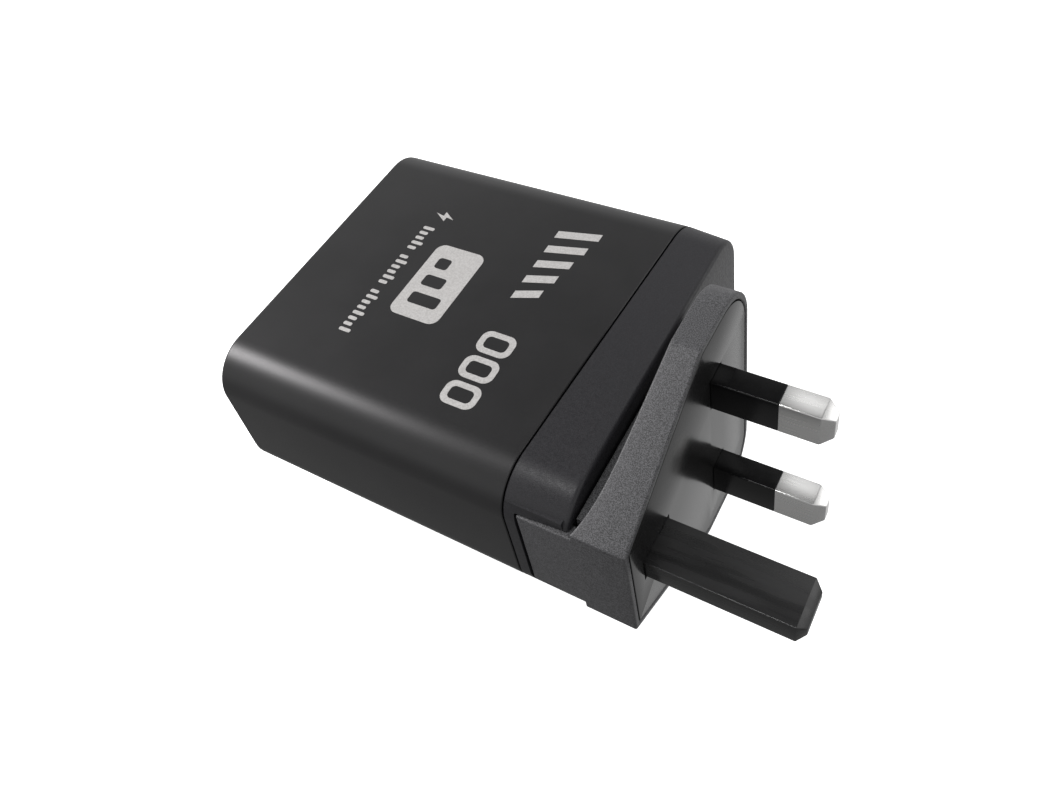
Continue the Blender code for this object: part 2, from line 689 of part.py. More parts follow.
def make_plug_shell(parent):
    """The keystone slab with its neck, foot, slide slot and contact channels."""
    rings = []
    for y in head_stations():
        half, depth = head_half_width(y), head_depth(y)
        rings.append([(0, y, -half), (0, y, half), (-depth, y, half), (-depth, y, -half)])
    shell = loft("plug_shell", rings, textured_black(), parent)
    neck_top_x = -HEAD_THICKNESS + HEAD_FLOOR / 2
    add(shell, block_between("neck", (NECK_BACK_X, NECK_EARTH_Y, -NECK_HALF_WIDTH),
                             (neck_top_x, NECK_FAR_Y, NECK_HALF_WIDTH), None))
    add(shell, block_between("foot", (RECESS_X + GAP, HEAD_EARTH_Y + FOOT_STEP,
                                      -FOOT_HALF_WIDTH),
                             (-HEAD_THICKNESS, HEAD_EARTH_Y + FOOT_THICKNESS,
                              FOOT_HALF_WIDTH), None))
    pocket = filleted(inset(head_corners(), RIM_WIDTH))
    cut(shell, prism("plate_pocket", pocket, -PLATE_THICKNESS - GAP, OVERRUN))
    cavity = filleted(inset(head_corners(), RIM_WIDTH + PLATE_LEDGE))
    cut(shell, prism("cavity", cavity, CAVITY_X, OVERRUN / 2))
    cut_slide_slot(shell)
    cut_contact_channels(shell)


def cut_slide_slot(shell):
    """T-shaped slot for the cap's rail, open at the neck's far end."""
    lip_x = CAP_END_X + RAIL_STEM - GAP
    low_y = RAIL_EARTH_Y - GAP
    high_y = NECK_FAR_Y + OVERRUN
    cut(shell, block_between("slot_mouth", (NECK_BACK_X - OVERRUN, low_y, -RAIL_STEM_HALF - GAP),
                             (lip_x + SINK, high_y, RAIL_STEM_HALF + GAP), None))
    cut(shell, block_between("slot_body", (lip_x, low_y, -RAIL_HEAD_HALF - GAP),
                             (RAIL_TOP_X + GAP, high_y, RAIL_HEAD_HALF + GAP), None))


def cut_contact_channels(shell):
    """Channels that the cap's blades slide into, with windows for the spring leaves."""
    window_y = SPRING_WIDTH / 2 + GAP
    low_y = -BLADE_WIDTH / 2 - GAP
    for side in (1, -1):
        inner, outer = sorted((side * CHANNEL_INNER, side * CHANNEL_OUTER))
        cut(shell, block_between("channel", (NECK_BACK_X - OVERRUN, low_y, inner),
                                 (CHANNEL_X, NECK_FAR_Y + OVERRUN, outer), None))
        cut(shell, block_between("window", (CHANNEL_X - SINK, -window_y, inner),
                                 (CAVITY_X + SINK, window_y, outer), None))


def make_pin_plate(parent):
    """The plate that closes the head's front, with an opening for each pin."""
    outline = filleted(inset(head_corners(), RIM_WIDTH + GAP))
    plate = prism("pin_plate", outline, -PLATE_THICKNESS, 0, matte_black(), parent)
    for centre_y, centre_z, wide_y, wide_z in pin_sections():
        cut(plate, block("pin_opening", (3 * PLATE_THICKNESS, wide_y + 2 * GAP, wide_z + 2 * GAP),
                         (-PLATE_THICKNESS / 2, centre_y, centre_z), None))


def pin_sections():
    """Centre and size in Y and Z of the line, neutral and earth pins."""
    return [(0, PIN_Z, PIN_THICKNESS, POWER_PIN_WIDTH),
            (0, -PIN_Z, PIN_THICKNESS, POWER_PIN_WIDTH),
            (-EARTH_OFFSET, 0, EARTH_PIN_WIDTH, PIN_THICKNESS)]


def square_ring(x, size_y, size_z):
    half_y, half_z = size_y / 2, size_z / 2
    return [(x, half_y, half_z), (x, -half_y, half_z), (x, -half_y, -half_z), (x, half_y, -half_z)]


def pin_rings(length, size_y, size_z, core_end, core_inset, tip_length, tip_inset):
    """Stations of a pin from its flange to its tip; the core is thinner up to core_end."""
    flange = 2 * PIN_FLANGE
    rings = [square_ring(FLANGE_X - PIN_FLANGE, size_y + flange, size_z + flange),
             square_ring(FLANGE_X, size_y + flange, size_z + flange)]
    if core_inset:
        core_y, core_z = size_y - 2 * core_inset, size_z - 2 * core_inset
        rings += [square_ring(FLANGE_X, core_y, core_z), square_ring(core_end, core_y, core_z),
                  square_ring(core_end, size_y, size_z)]
    else:
        rings += [square_ring(FLANGE_X, size_y, size_z)]
    rings += [square_ring(length - tip_length, size_y, size_z),
              square_ring(length, size_y - 2 * tip_inset, size_z - 2 * tip_inset)]
    return rings


def make_pins(parent):
    core_inset = PIN_SLEEVE_WALL + GAP
    for label, side in (("line", 1), ("neutral", -1)):
        spot = (0, 0, side * PIN_Z)
        loft(label + "_pin", pin_rings(POWER_PIN_LENGTH, PIN_THICKNESS, POWER_PIN_WIDTH,
                                       PIN_SLEEVE_END + GAP, core_inset, PIN_TIP_LENGTH,
                                       PIN_TIP_INSET), nickel(), parent, location=spot)
        hole_y = PIN_THICKNESS - 2 * PIN_SLEEVE_WALL
        hole_z = POWER_PIN_WIDTH - 2 * PIN_SLEEVE_WALL
        rings = [square_ring(-PLATE_THICKNESS, PIN_THICKNESS, POWER_PIN_WIDTH),
                 square_ring(PIN_SLEEVE_END, PIN_THICKNESS, POWER_PIN_WIDTH),
                 square_ring(PIN_SLEEVE_END, hole_y, hole_z),
                 square_ring(-PLATE_THICKNESS, hole_y, hole_z)]
        loft(label + "_pin_sleeve", rings, gloss_black(), parent, closed=True, location=spot)
    loft("earth_pin", pin_rings(EARTH_PIN_LENGTH, EARTH_PIN_WIDTH, PIN_THICKNESS, 0, 0,
                                EARTH_TIP_LENGTH, PIN_TIP_INSET), gloss_black(), parent,
         location=(0, -EARTH_OFFSET, 0))


def make_contact_springs(parent):
    """U-shaped springs: a base behind the pin's flange and two leaves round the blade."""
    half = SPRING_WIDTH / 2
    leaf_end = NECK_BACK_X + LEAF_SETBACK
    inner = BLADE_Z - BLADE_THICKNESS / 2 - GAP
    outer = BLADE_Z + BLADE_THICKNESS / 2 + GAP
    for label, side in (("line", 1), ("neutral", -1)):
        base_z = sorted((side * (inner - SPRING_SHEET), side * (PIN_Z + POWER_PIN_WIDTH / 4)))
        spring = block_between(label + "_contact", (SPRING_BASE_X - SPRING_SHEET, -half, base_z[0]),
                               (SPRING_BASE_X, half, base_z[1]), brass(), parent)
        for near in (inner - SPRING_SHEET, outer):
            leaf_z = sorted((side * near, side * (near + SPRING_SHEET)))
            add(spring, block_between("leaf", (leaf_end, -half, leaf_z[0]),
                                      (SPRING_BASE_X - SPRING_SHEET / 2, half, leaf_z[1]), None))


# ---- boards and components ----------------------------------------------------------------------
def make_boards(parent):
    block_between("main_board", (BOARD_USB_X, -BOARD_HALF_WIDTH, BOARD_UNDER_Z),
                  (BOARD_CAP_X, BOARD_HALF_WIDTH, BOARD_Z), board_green(), parent)
    block_between("usb_card", (CARD_X, -CARD_WIDTH / 2, SEAT_Z),
                  (CARD_X + CARD_THICKNESS, CARD_WIDTH / 2, TOP_PLATE_Z - CARD_TOP_ROOM),
                  board_green(), parent)
    chip_x = CARD_X + CARD_THICKNESS + GAP
    for name, size, centre in (("sync_rectifier", RECTIFIER_SIZE, RECTIFIER_CENTRE),
                               ("pd_controller", CONTROLLER_SIZE, CONTROLLER_CENTRE)):
        block(name, size, (chip_x + size[0] / 2, *centre), epoxy_black(), parent)
    block_between("insulating_film", (BOARD_USB_X, -FLAT_HALF_WIDTH, FILM_Z),
                  (BOARD_CAP_X, FLAT_HALF_WIDTH, FILM_Z + FILM_THICKNESS), film_grey(), parent)


def seated(name, size, x, y, look, parent, bevel=0.0):
    """A rectangular part standing on the main board."""
    block(name, size, (x, y, SEAT_Z + size[2] / 2), look, parent, bevel)


def make_transformer(parent):
    """Two ferrite E halves, the bobbin round their middle leg, and the taped winding."""
    centre_x, centre_y = TRANSFORMER_X, TRANSFORMER_Y
    size_x, size_y = TRANSFORMER_SIZE
    half_height = CORE_HEIGHT / 2
    middle_z = SEAT_Z + half_height
    relief = 2 * CORE_LEG_RELIEF
    side_leg = size_y / 2 - CORE_LEG / 2
    legs = ((-side_leg, size_x, CORE_LEG), (0, CORE_POST, CORE_POST), (side_leg, size_x, CORE_LEG))
    for label, side in (("lower", -1), ("upper", 1)):
        low, high = sorted((side * (half_height - CORE_LEG), side * half_height))
        core = block("transformer_core_" + label, (size_x, size_y, high - low),
                     (centre_x, centre_y, middle_z + (low + high) / 2), ferrite(), parent)
        leg_low, leg_high = sorted((side * GAP / 2, side * (half_height - CORE_LEG / 2)))
        leg_z = middle_z + (leg_low + leg_high) / 2
        for offset, depth, width in legs:
            add(core, block("core_leg", (depth - relief, width - relief, leg_high - leg_low),
                            (centre_x, centre_y + offset, leg_z), None))
    window = CORE_HEIGHT - 2 * CORE_LEG - 2 * GAP
    post = CORE_POST + 2 * GAP
    outer_y = size_y - 2 * CORE_LEG - 2 * GAP
    place = (centre_x, centre_y, middle_z)
    loft("transformer_bobbin", square_tube(post, BOBBIN_WALL, window), nylon_cream(), parent,
         closed=True, location=place)
    wound = post + 2 * BOBBIN_WALL + 2 * GAP
    loft("transformer_winding", square_tube(wound, (outer_y - wound) / 2, window), tape_yellow(),
         parent, closed=True, location=place)


def square_tube(hole, wall, height):
    """Rings of an upright square tube, outside then inside."""
    rings = []
    for grow, z in ((wall, -height / 2), (wall, height / 2), (0, height / 2), (0, -height / 2)):
        half = hole / 2 + grow
        rings.append([(half, half, z), (-half, half, z), (-half, -half, z), (half, -half, z)])
    return rings


def arc_rings(inner, outer, low, high, start, end, steps):
    rings = []
    for step in range(steps + 1):
        angle = radians(start + (end - start) * step / steps)
        direction = (cos(angle), sin(angle))
        rings.append([(radius * direction[0], radius * direction[1], z)
                      for radius, z in ((inner, low), (outer, low), (outer, high), (inner, high))])
    return rings


def make_choke(parent):
    """Common-mode choke: a ferrite ring with one winding on each half."""
    half = CHOKE_HEIGHT / 2
    grow = GAP + CHOKE_WIRE
    location = (MAINS_ROW_X - CHOKE_REACH, CHOKE_Y, SEAT_Z + grow + half)
    full = arc_rings(CHOKE_BORE, CHOKE_RADIUS, -half, half, 0, 360, ROUND_STEPS)[:-1]
    loft("choke_core", full, ferrite(), parent, closed=True, location=location)
    for label, middle in (("line", 90), ("neutral", 270)):
        start = middle - CHOKE_WINDING_ANGLE / 2
        end = middle + CHOKE_WINDING_ANGLE / 2
        coil = loft("choke_winding_" + label,
                    arc_rings(CHOKE_BORE - grow, CHOKE_RADIUS + grow, -half - grow, half + grow,
                              start, end, COIL_STEPS), copper(), parent, location=location)
        cut(coil, loft("coil_room", arc_rings(CHOKE_BORE - GAP, CHOKE_RADIUS + GAP, -half - GAP,
                                              half + GAP, start - CHOKE_END_ROOM,
                                              end + CHOKE_END_ROOM, COIL_STEPS), None,
                       location=location))


def make_filter_parts(parent):
    """Fuse, thermistor, X capacitor and rectifier at the mains end, and the Y capacitor."""
    seated("fuse", FUSE_SIZE, MAINS_ROW_X - FUSE_SIZE[0] / 2, SIDE_ROW_Y - FUSE_SIZE[1] / 2,
           epoxy_black(), parent, CASE_BEVEL)
    seated("x_capacitor", X_CAPACITOR_SIZE, MAINS_ROW_X - X_CAPACITOR_SIZE[0] / 2, X_CAPACITOR_Y,
           tape_yellow(), parent, CASE_BEVEL)
    seated("bridge_rectifier", BRIDGE_SIZE, MAINS_ROW_X - BRIDGE_SIZE[0] / 2, BRIDGE_Y,
           epoxy_black(), parent, BRIDGE_BEVEL)
    turned("thermistor", THERMISTOR_RADIUS, THERMISTOR_THICKNESS,
           (THERMISTOR_X, SIDE_ROW_Y - THERMISTOR_THICKNESS / 2, SEAT_Z + THERMISTOR_RADIUS),
           "Y", ferrite(), parent, THERMISTOR_RIM)
    turned("y_capacitor", Y_CAPACITOR_RADIUS, Y_CAPACITOR_THICKNESS,
           (TRANSFORMER_X, SIDE_ROW_Y - Y_CAPACITOR_THICKNESS / 2, SEAT_Z + Y_CAPACITOR_RADIUS),
           "Y", capacitor_blue(), parent, Y_CAPACITOR_RIM)


def make_storage_parts(parent):
    """Two high-voltage capacitors by the mains end and two output ones by the USB card."""
    bulk_length = TOP_PLATE_Z - BULK_TOP_ROOM - SEAT_Z
    spots = ((BULK_1_X, BULK_1_Y), (BULK_2_X, BULK_2_Y))
    for index, (x, y) in enumerate(spots, start=1):
        turned("bulk_capacitor_" + str(index), BULK_RADIUS, bulk_length,
               (x, y, SEAT_Z + bulk_length / 2), "Z", epoxy_black(), parent, BULK_RIM)
    for index, side in enumerate((-1, 1), start=1):
        turned("output_capacitor_" + str(index), OUTPUT_RADIUS, OUTPUT_LENGTH,
               (OUTPUT_X, side * OUTPUT_Y, SEAT_Z + OUTPUT_LENGTH / 2), "Z", aluminium(),
               parent, OUTPUT_RIM)


def make_switch_and_heat_parts(parent):
    """The switching transistor, its clip-on heat plate, and the plate under the printed face."""
    seated("power_switch", SWITCH_SIZE, HEAT_PLATE_X, HEAT_PLATE_Y, epoxy_black(), parent)
    plate_z = SEAT_Z + SWITCH_SIZE[2] + GAP + HEAT_PLATE_SIZE[2] / 2
    block("switch_heat_plate", HEAT_PLATE_SIZE, (HEAT_PLATE_X, HEAT_PLATE_Y, plate_z),
          aluminium(), parent)
    block_between("heat_spreader", (BOARD_USB_X + TOP_PLATE_MARGIN, -FLAT_HALF_WIDTH, TOP_PLATE_Z),
                  (BOARD_CAP_X - TOP_PLATE_MARGIN, FLAT_HALF_WIDTH,
                   TOP_PLATE_Z + TOP_PLATE_THICKNESS), copper(), parent)
    pad_half = [size / 2 - margin for size, margin in zip(TRANSFORMER_SIZE, PAD_MARGIN)]
    block_between("thermal_pad", (TRANSFORMER_X - pad_half[0], TRANSFORMER_Y - pad_half[1],
                                  SEAT_Z + CORE_HEIGHT + GAP),
                  (TRANSFORMER_X + pad_half[0], TRANSFORMER_Y + pad_half[1], TOP_PLATE_Z - GAP),
                  pad_pink(), parent)


def lead_route(side):
    """Points of a smooth curve from a blade's flange down to its land on the board."""
    start = Vector((CAP_END_X - CAP_END_WALL - 2 * GAP - BLADE_THICKNESS, 0.0,
                    side * (BLADE_Z - BLADE_FLANGE / 2)))
    end = Vector((BOARD_CAP_X - LEAD_LAND_BACK, side * LEAD_LAND_Y + LEAD_LAND_SHIFT,
                  SEAT_Z + LEAD_LAND_LIFT))
    leave = start - Vector((LEAD_LEAVE, 0.0, 0.0))
    arrive = end + Vector((LEAD_DROP[0], 0.0, LEAD_DROP[1]))
    points = []
    for step in range(LEAD_STEPS + 1):
        t = step / LEAD_STEPS
        points.append(start * (1 - t) ** 3 + leave * 3 * t * (1 - t) ** 2
                      + arrive * 3 * t * t * (1 - t) + end * t ** 3)
    return points


def make_leads(parent):
    """Insulated leads from the blades' flanges down to the main board."""
    for label, side in (("line", 1), ("neutral", -1)):
        route = bpy.data.curves.new("lead_" + label, "CURVE")
        route.dimensions = "3D"
        route.bevel_depth = LEAD_RADIUS * MM
        route.bevel_resolution = 2
        route.use_fill_caps = True
        line = route.splines.new("POLY")
        line.points.add(LEAD_STEPS)
        for point, spot in zip(line.points, lead_route(side)):
            point.co = (*(spot * MM), 1.0)
        route.materials.append(wire_red())
        lead = bpy.data.objects.new("lead_" + label, route)
        lead.parent = parent
        bpy.context.scene.collection.objects.link(lead)


# ---- the whole adapter -----------------------------------------------------------------------------
def main():
    clear_scene()
    housing = group("housing")
    head = group("plug_head")
    make_sleeve(housing)
    make_port_panel(housing)
    make_usb_socket(housing)
    make_end_cap(housing)
    make_ac_blades(housing)
    make_boards(housing)
    make_transformer(housing)
    make_choke(housing)
    make_filter_parts(housing)
    make_storage_parts(housing)
    make_switch_and_heat_parts(housing)
    make_leads(housing)
    make_plug_shell(head)
    make_pin_plate(head)
    make_pins(head)
    make_contact_springs(head)


main()
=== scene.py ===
"""Looks of the laptop power adapter: finer shells, pins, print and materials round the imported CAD."""
from math import cos, pi, radians, sin, tan

import bmesh
import bpy
from mathutils import Matrix, Vector


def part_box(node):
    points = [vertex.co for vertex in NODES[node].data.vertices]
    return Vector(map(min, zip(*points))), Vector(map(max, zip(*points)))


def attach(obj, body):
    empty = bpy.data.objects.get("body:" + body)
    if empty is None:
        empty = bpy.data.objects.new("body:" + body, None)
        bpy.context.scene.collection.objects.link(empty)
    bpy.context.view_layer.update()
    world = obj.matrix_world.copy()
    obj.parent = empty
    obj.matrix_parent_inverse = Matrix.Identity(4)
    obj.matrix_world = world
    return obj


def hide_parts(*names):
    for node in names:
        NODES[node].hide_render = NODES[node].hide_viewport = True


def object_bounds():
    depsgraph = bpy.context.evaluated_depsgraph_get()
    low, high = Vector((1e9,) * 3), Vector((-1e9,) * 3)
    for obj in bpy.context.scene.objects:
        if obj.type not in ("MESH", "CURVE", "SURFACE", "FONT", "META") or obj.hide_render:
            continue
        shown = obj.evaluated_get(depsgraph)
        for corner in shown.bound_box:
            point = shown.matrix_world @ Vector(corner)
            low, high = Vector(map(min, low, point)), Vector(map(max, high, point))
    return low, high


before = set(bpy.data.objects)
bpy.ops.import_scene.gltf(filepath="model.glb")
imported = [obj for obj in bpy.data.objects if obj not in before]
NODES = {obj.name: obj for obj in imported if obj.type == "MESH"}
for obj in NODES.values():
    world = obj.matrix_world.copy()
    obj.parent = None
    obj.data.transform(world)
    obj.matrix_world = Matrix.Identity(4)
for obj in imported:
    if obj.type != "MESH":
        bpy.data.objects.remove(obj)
CAD_BOUNDS = [list(corner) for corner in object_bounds()]
MM = 0.001


# ---- sizes read from the frame, in millimetres --------------------------------------------
def box_mm(node):
    low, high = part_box(node)
    return low / MM, high / MM


SLEEVE_LOW, SLEEVE_HIGH = box_mm("body_sleeve")
CAP_LOW, CAP_HIGH = box_mm("end_cap")
SHELL_LOW, SHELL_HIGH = box_mm("plug_shell")
PLATE_LOW, PLATE_HIGH = box_mm("pin_plate")
PANEL_LOW, PANEL_HIGH = box_mm("port_panel")
PORT_LOW, PORT_HIGH = box_mm("usb_c_shell")
TONGUE_LOW, TONGUE_HIGH = box_mm("usb_c_tongue")
BLADE_LOW, BLADE_HIGH = box_mm("ac_blade_line")
EARTH_LOW, EARTH_HIGH = box_mm("earth_pin")
LINE_LOW, LINE_HIGH = box_mm("line_pin")

HALF_WIDTH = SLEEVE_HIGH.y
HALF_THICKNESS = SLEEVE_HIGH.z
USB_END_X = SLEEVE_LOW.x
GAP = 0.3
WALL = 2.0
EDGE_RADIUS = 7.5
SEAM_SKEW = 0.045
SEAM_X = SLEEVE_HIGH.x - SEAM_SKEW * HALF_WIDTH + GAP / 2
CAP_END_X = -9.0
CAP_TAPER = 0.6
CAP_END_WALL = 2.0
LIP_OUTER = WALL + GAP
LIP_INNER = LIP_OUTER + 1.5
PANEL_BACK_X = PANEL_HIGH.x
LEDGE = WALL + 1.5
LEDGE_DEPTH = 1.2
OUTER_ROUND = 0.8       # rounding of the sleeve's and the cap's end faces
CRISP_EDGE = 0.12       # small bevel at the parting line

RAIL_EARTH_Y = -24.0
RAIL_FAR_Y = 6.0
RAIL_STEM_HALF = 2.7
RAIL_HEAD_HALF = 4.6
RAIL_STEM = 1.8
CHANNEL_INNER = 5.95
CHANNEL_OUTER = 9.25
WINDOW_HALF_Y = 3.3
BLADE_HALF = 0.4        # half of a blade's thickness
OVERRUN = 1.0           # how far a cutter reaches past the face it opens
SINK = 0.1              # how far one cutter reaches into the next

HEAD_HALF_WIDTH = SHELL_HIGH.z
HEAD_EARTH_HALF = 10.5
HEAD_EARTH_Y = SHELL_LOW.y
HEAD_BREAK_Y = -4.5
HEAD_BREAK_RADIUS = 3.0
HEAD_FAR_Y = SHELL_HIGH.y
HEAD_FAR_RADIUS = 9.5
HEAD_THICKNESS = 4.6
SCALLOP_SLOPE = 1.9
SCALLOP_SWEEP = 2.0
SCALLOP_POWER = 6
RIM_WIDTH = SHELL_HIGH.z - PLATE_HIGH.z - GAP
CAVITY_INSET = 3.1
CAVITY_X = -3.6
PLATE_FACE = -0.03      # the plate's face, a hair behind the rim's
NECK_HALF_WIDTH = 10.4
NECK_EARTH_Y = -28.0
NECK_FAR_Y = 11.0
FOOT_HALF_WIDTH = 9.2
FOOT_X = SHELL_LOW.x
FOOT_THICKNESS = 2.4
EARTH_HALF_Y = 4.0
PIN_HALF = 2.0
POWER_HALF_Z = 3.175
PIN_FLANGE = 0.8
POWER_TIP_LENGTH = 1.7
SLEEVE_END_X = 10.0
PIN_SLEEVE_WALL = 0.5
PIN_Z = 11.1
EARTH_Y = -22.2
BLADE_Z = (BLADE_LOW.z + BLADE_HIGH.z) / 2

FINE_STEPS = 14         # arc steps at the large rounded edges


# ---- small node-graph helpers -----------------------------------------------------------------
class Graph:
    """A material's node tree with short calls to add and join nodes."""

    def __init__(self, name):
        self.material = bpy.data.materials.new(name)
        self.material.use_nodes = True
        self.tree = self.material.node_tree
        self.shader = self.tree.nodes["Principled BSDF"]

    def node(self, kind, **settings):
        made = self.tree.nodes.new(kind)
        for key, value in settings.items():
            setattr(made, key, value)
        return made

    def join(self, source, target):
        self.tree.links.new(source, target)

    def coordinates(self, scale=(1, 1, 1)):
        """Object coordinates in millimetres, stretched by scale."""
        place = self.node("ShaderNodeTexCoord")
        stretch = self.node("ShaderNodeMapping")
        stretch.inputs["Scale"].default_value = [1000 * part for part in scale]
        self.join(place.outputs["Object"], stretch.inputs["Vector"])
        return stretch.outputs["Vector"]

    def noise(self, size, detail=2.0, scale=(1, 1, 1), roughness=0.5):
        """Noise whose blobs are about size millimetres across."""
        made = self.node("ShaderNodeTexNoise")
        made.inputs["Scale"].default_value = 1.0 / size
        made.inputs["Detail"].default_value = detail
        made.inputs["Roughness"].default_value = roughness
        self.join(self.coordinates(scale), made.inputs["Vector"])
        return made.outputs["Fac"]

    def cells(self, size, feature="F1"):
        made = self.node("ShaderNodeTexVoronoi", feature=feature)
        made.inputs["Scale"].default_value = 1.0 / size
        self.join(self.coordinates(), made.inputs["Vector"])
        return made.outputs["Distance"]

    def ramp(self, source, low, high, from_low=0.35, from_high=0.65):
        """Map a 0..1 signal between two values."""
        made = self.node("ShaderNodeMapRange")
        made.inputs["From Min"].default_value = from_low
        made.inputs["From Max"].default_value = from_high
        made.inputs["To Min"].default_value = low
        made.inputs["To Max"].default_value = high
        self.join(source, made.inputs["Value"])
        return made.outputs["Result"]

    def blend(self, source, first, second):
        """Mix two colours by a signal."""
        made = self.node("ShaderNodeMix", data_type="RGBA")
        made.inputs["A"].default_value = (*first, 1)
        made.inputs["B"].default_value = (*second, 1)
        self.join(source, made.inputs["Factor"])
        return made.outputs["Result"]

    def bump(self, height, strength, distance, below=None):
        """A bump of distance millimetres; below is another bump to add to."""
        made = self.node("ShaderNodeBump")
        made.inputs["Strength"].default_value = strength
        made.inputs["Distance"].default_value = distance * MM
        self.join(height, made.inputs["Height"])
        if below is not None:
            self.join(below, made.inputs["Normal"])
        return made.outputs["Normal"]

    def set(self, **values):
        for key, value in values.items():
            self.shader.inputs[key.replace("_", " ")].default_value = value
        return self


def moulded(name, dark, light, rough, grain, depth, spot=0.0, specular=0.5):
    """Moulded plastic: uneven tone, uneven gloss and a fine surface grain."""
    graph = Graph(name)
    graph.set(Specular_IOR_Level=specular)
    broad = graph.noise(9.0, 3.0)
    graph.join(graph.blend(graph.ramp(broad, 0, 1), dark, light), graph.shader.inputs["Base Color"])
    fine = graph.noise(grain * 2.5, 3.0)
    graph.join(graph.ramp(fine, rough - spot, rough + spot), graph.shader.inputs["Roughness"])
    coarse = graph.bump(graph.noise(grain, 2.0, roughness=0.6), 1.0, depth)
    graph.join(coarse, graph.shader.inputs["Normal"])
    return graph


def satin_shell():
    return moulded("satin_shell", (0.0095, 0.0093, 0.0098), (0.012, 0.0117, 0.0123), 0.36,
                   0.10, 0.0012, 0.02).material


def sparked(name, dark, light, rough, depth):
    """Spark-eroded texture: small pits whose rims catch the light."""
    graph = Graph(name)
    pits = graph.cells(0.24, "SMOOTH_F1")
    specks = graph.noise(0.15, 2.0)
    graph.join(graph.blend(graph.ramp(specks, 0, 1, 0.4, 0.62), dark, light),
               graph.shader.inputs["Base Color"])
    graph.join(graph.ramp(graph.noise(0.5), rough - 0.05, rough + 0.05),
               graph.shader.inputs["Roughness"])
    pitted = graph.bump(pits, 0.7, depth)
    grained = graph.bump(graph.noise(0.14, 3.0), 0.8, depth * 0.7, pitted)
    graph.join(grained, graph.shader.inputs["Normal"])
    return graph.material


def cap_texture():
    return sparked("cap_texture", (0.012, 0.0117, 0.0135), (0.019, 0.0185, 0.0215), 0.42, 0.009)


def head_texture():
    return sparked("head_texture", (0.024, 0.024, 0.0255), (0.098, 0.098, 0.103), 0.46, 0.02)


def plate_plastic():
    return moulded("plate_plastic", (0.009, 0.009, 0.0092), (0.012, 0.012, 0.0122), 0.20,
                   0.12, 0.0006, 0.02).material


def gloss_plastic():
    return moulded("gloss_plastic", (0.003, 0.003, 0.0033), (0.005, 0.005, 0.0053), 0.16,
                   0.5, 0.001, 0.03, specular=0.3).material


def earth_pin_plastic():
    """Semi-gloss nylon with long, faint flow marks."""
    graph = Graph("earth_pin_plastic")
    flow = graph.noise(1.6, 2.0, scale=(0.12, 1, 1))
    graph.join(graph.blend(graph.ramp(flow, 0, 1), (0.013, 0.013, 0.0133), (0.019, 0.019, 0.0193)),
               graph.shader.inputs["Base Color"])
    graph.join(graph.ramp(flow, 0.2, 0.34), graph.shader.inputs["Roughness"])
    graph.join(graph.bump(graph.noise(0.3), 0.6, 0.002), graph.shader.inputs["Normal"])
    return graph.material


def plated_pin():
    """Satin nickel plating with very fine lengthwise drawing marks."""
    graph = Graph("plated_pin").set(Metallic=1.0)
    streaks = graph.noise(0.3, 2.0, scale=(0.05, 1, 1))
    graph.join(graph.blend(graph.ramp(streaks, 0, 1), (0.87, 0.865, 0.855), (0.90, 0.895, 0.885)),
               graph.shader.inputs["Base Color"])
    graph.join(graph.ramp(streaks, 0.27, 0.33), graph.shader.inputs["Roughness"])
    graph.join(graph.bump(streaks, 0.15, 0.0004), graph.shader.inputs["Normal"])
    return graph.material


def metal(name, dark, light, rough, grain=0.4, depth=0.001):
    graph = Graph(name).set(Metallic=1.0)
    tone = graph.noise(grain * 4, 3.0)
    graph.join(graph.blend(graph.ramp(tone, 0, 1), dark, light), graph.shader.inputs["Base Color"])
    graph.join(graph.ramp(graph.noise(grain), rough - 0.06, rough + 0.06),
               graph.shader.inputs["Roughness"])
    graph.join(graph.bump(graph.noise(grain * 0.5), 0.4, depth), graph.shader.inputs["Normal"])
    return graph.material


def print_ink():
    """Thin silver-grey pad printing, faintly speckled."""
    graph = Graph("print_ink").set(Metallic=0.35)
    speck = graph.noise(0.25, 3.0)
    graph.join(graph.blend(graph.ramp(speck, 0, 1), (0.44, 0.43, 0.42), (0.54, 0.53, 0.52)),
               graph.shader.inputs["Base Color"])
    graph.join(graph.ramp(speck, 0.42, 0.55), graph.shader.inputs["Roughness"])
    graph.join(graph.bump(graph.noise(0.12), 0.5, 0.002), graph.shader.inputs["Normal"])
    return graph.material


def circuit_board():
    """Green solder mask over a faint network of copper tracks."""
    graph = Graph("circuit_board")
    tracks = graph.cells(2.2, "DISTANCE_TO_EDGE")
    graph.join(graph.blend(graph.ramp(tracks, 0, 1, 0.06, 0.10), (0.05, 0.22, 0.09),
                           (0.012, 0.085, 0.035)), graph.shader.inputs["Base Color"])
    graph.join(graph.ramp(graph.noise(1.5), 0.25, 0.38), graph.shader.inputs["Roughness"])
    graph.join(graph.bump(tracks, 0.5, 0.02), graph.shader.inputs["Normal"])
    return graph.material


def banded(name, dark, light, pitch, direction, rough, metallic=0.0, depth=0.05):
    """Even bands across a piece, for wound wire, wrapped tape or ribbed leads."""
    graph = Graph(name).set(Metallic=metallic)
    bands = graph.node("ShaderNodeTexWave", bands_direction=direction)
    bands.inputs["Scale"].default_value = 0.31 / pitch
    bands.inputs["Distortion"].default_value = 0.4
    graph.join(graph.coordinates(), bands.inputs["Vector"])
    graph.join(graph.blend(bands.outputs["Fac"], dark, light), graph.shader.inputs["Base Color"])
    graph.join(graph.ramp(graph.noise(1.0), rough - 0.06, rough + 0.06),
               graph.shader.inputs["Roughness"])
    graph.join(graph.bump(bands.outputs["Fac"], 0.6, depth), graph.shader.inputs["Normal"])
    return graph.material


def speckled(name, dark, light, rough, grain, depth=0.004):
    """Pressed or dipped material with a coarse speckle."""
    return moulded(name, dark, light, rough, grain, depth, 0.06).material


